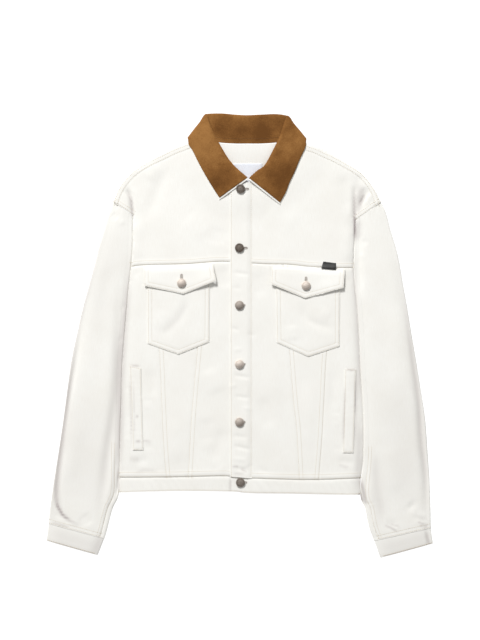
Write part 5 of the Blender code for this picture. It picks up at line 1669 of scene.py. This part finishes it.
for number, (x, y, turn) in enumerate(holes):
    half = HOLE_WIDTH / 2
    run = (FLAP_HOLE_LENGTH if turn else HOLE_LENGTHS[number]) - half
    bends = [pi * i / HOLE_TURNS - pi / 2 for i in range(HOLE_TURNS + 1)]
    ring = [(run + half * cos(bend), half * sin(bend)) for bend in bends]
    ring = np.array([(HOLE_FROM, -half)] + ring + [(HOLE_FROM, half)])
    slit = np.array([(HOLE_FROM, 0), (run + SLIT_PAST, 0)])
    for line, rows, up in ((ring, hole_rows, HOLE_UP), (slit, slit_rows, 0.0)):
        placed = np.column_stack((x + line[:, 0] * cos(turn) - line[:, 1] * sin(turn),
                                  y + line[:, 0] * sin(turn) + line[:, 1] * cos(turn)))
        placed = straight(placed, HOLE_STEP)
        if turn:
            side = "left" if x < 0 else "right"
            over = front_base(placed) + flap_lift(side)(placed) + CLOTH
        elif number == len(PLACKET_BUTTON_PLACES) - 1:
            over = front_level(placed) - BAND_STEP
        else:
            over = front_base(placed) + placket_outer(placed)
        rows.append(np.column_stack((placed, over + up)))
bound = stitch_tree("binding", topstitch_thread("grey_buttonhole_thread", "#CBC5BF", "#B4ADA7"))
sew("buttonhole_binding", hole_rows, bound, BIND_PITCH, BIND_LENGTH, THREAD_WIDTH, pi / 2)
slit_shade = topstitch_thread("shaded_slit_edges", "#A2978A", "#857B70")
sew("buttonhole_slits", slit_rows, stitch_tree("slits", slit_shade), SLIT_PITCH, SLIT_LENGTH, SLIT_WIDTH)

sew("stitching_sleeves", sleeve_rows, stitches, STITCH_PITCH, STITCH_LENGTH, THREAD_WIDTH)
sew("stitching_back", back_rows, stitches, STITCH_PITCH, STITCH_LENGTH, THREAD_WIDTH)
nap_side = (collar.points + collar.normals * nap_at(collar.points)[:, None]).reshape(len(across), -1, 3)
strip_row = [[np.interp(STRIP_HIGH + STRIP_ROW, steps, ring[:, k]) for k in range(3)]
             for steps, ring in zip(across, nap_side)]
sew("stitching_collar", [strip_row], stitch_tree("brown_stitches", brown), STITCH_PITCH, STITCH_LENGTH,
    THREAD_WIDTH)


# The setting --------------------------------------------------------------------------------------
# The jacket lies on a light table of opal glass, which stays white without shadows. One large light
# stands up to the left and a weak one to the right. The camera hangs straight above.

FLOOR_SIZE = 6000.0
FLOOR_DROP = 0.4
OPAL = "#8C8C8C"            # opal glass sends back little of the light from above
OPAL_GLOW = 0.95            # and glows evenly from below
IMAGE_HEIGHT_MM = 1184.0    # 640 pixels at 1.85 mm each
IMAGE_MIDDLE_Y = 27.75
LENS = 100.0
SENSOR = 36.0
SEES_TO = 100.0             # metres
WORLD_GLOW = 0.34
WHITE = (1.0, 1.0, 1.0, 1.0)


def opal_glass():
    """Milky glass lit from below, with the faintest tooth."""
    material, tree, shader = new_material("opal_glass")
    place = add(tree, "ShaderNodeTexCoord")
    tooth = add(tree, "ShaderNodeTexNoise", {"Vector": place.outputs["Object"], "Scale": 900.0})
    bump = add(tree, "ShaderNodeBump", {"Height": tooth.outputs["Fac"], "Strength": 0.1,
                                        "Distance": 0.0001})
    feed(tree, shader, {"Normal": bump.outputs["Normal"], "Emission Color": WHITE,
                        "Emission Strength": OPAL_GLOW, "Base Color": linear(OPAL), "Roughness": 0.9})
    return material


half = FLOOR_SIZE / 2
corners = [(x, y, -FLOOR_DROP) for x, y in ((-half, -half), (half, -half), (half, half), (-half, half))]
floor = make_piece("light_table", corners, [[0, 1, 2, 3]], opal_glass())

camera = bpy.data.objects.new("camera", bpy.data.cameras.new("camera"))
camera.data.lens = LENS
camera.data.sensor_width = SENSOR
camera.data.clip_end = SEES_TO
camera.location = (0, IMAGE_MIDDLE_Y * MM, (FRONT_TOP + IMAGE_HEIGHT_MM * LENS / SENSOR) * MM)
bpy.context.collection.objects.link(camera)
bpy.context.scene.camera = camera

LIGHTS = (
    # name, x, y, z, size, watts (all in metres)
    ("window_light", -2.0, 5.0, 4.5, 1.7, 505.0),
    ("fill_light", 1.2, -1.6, 3.0, 2.4, 8.0),
)
for name, x, y, z, size, power in LIGHTS:
    lamp = bpy.data.lights.new(name, "AREA")
    lamp.shape, lamp.size, lamp.energy = "SQUARE", size, power
    light = bpy.data.objects.new(name, lamp)
    light.location = (x, y, z)
    light.rotation_euler = (-Vector((x, y, z))).to_track_quat("-Z", "Y").to_euler()
    bpy.context.collection.objects.link(light)
world = bpy.data.worlds.new("studio")
world.use_nodes = True
feed(world.node_tree, world.node_tree.nodes["Background"], {"Color": WHITE, "Strength": WORLD_GLOW})
bpy.context.scene.world = world
bpy.context.scene.view_settings.view_transform = "Standard"
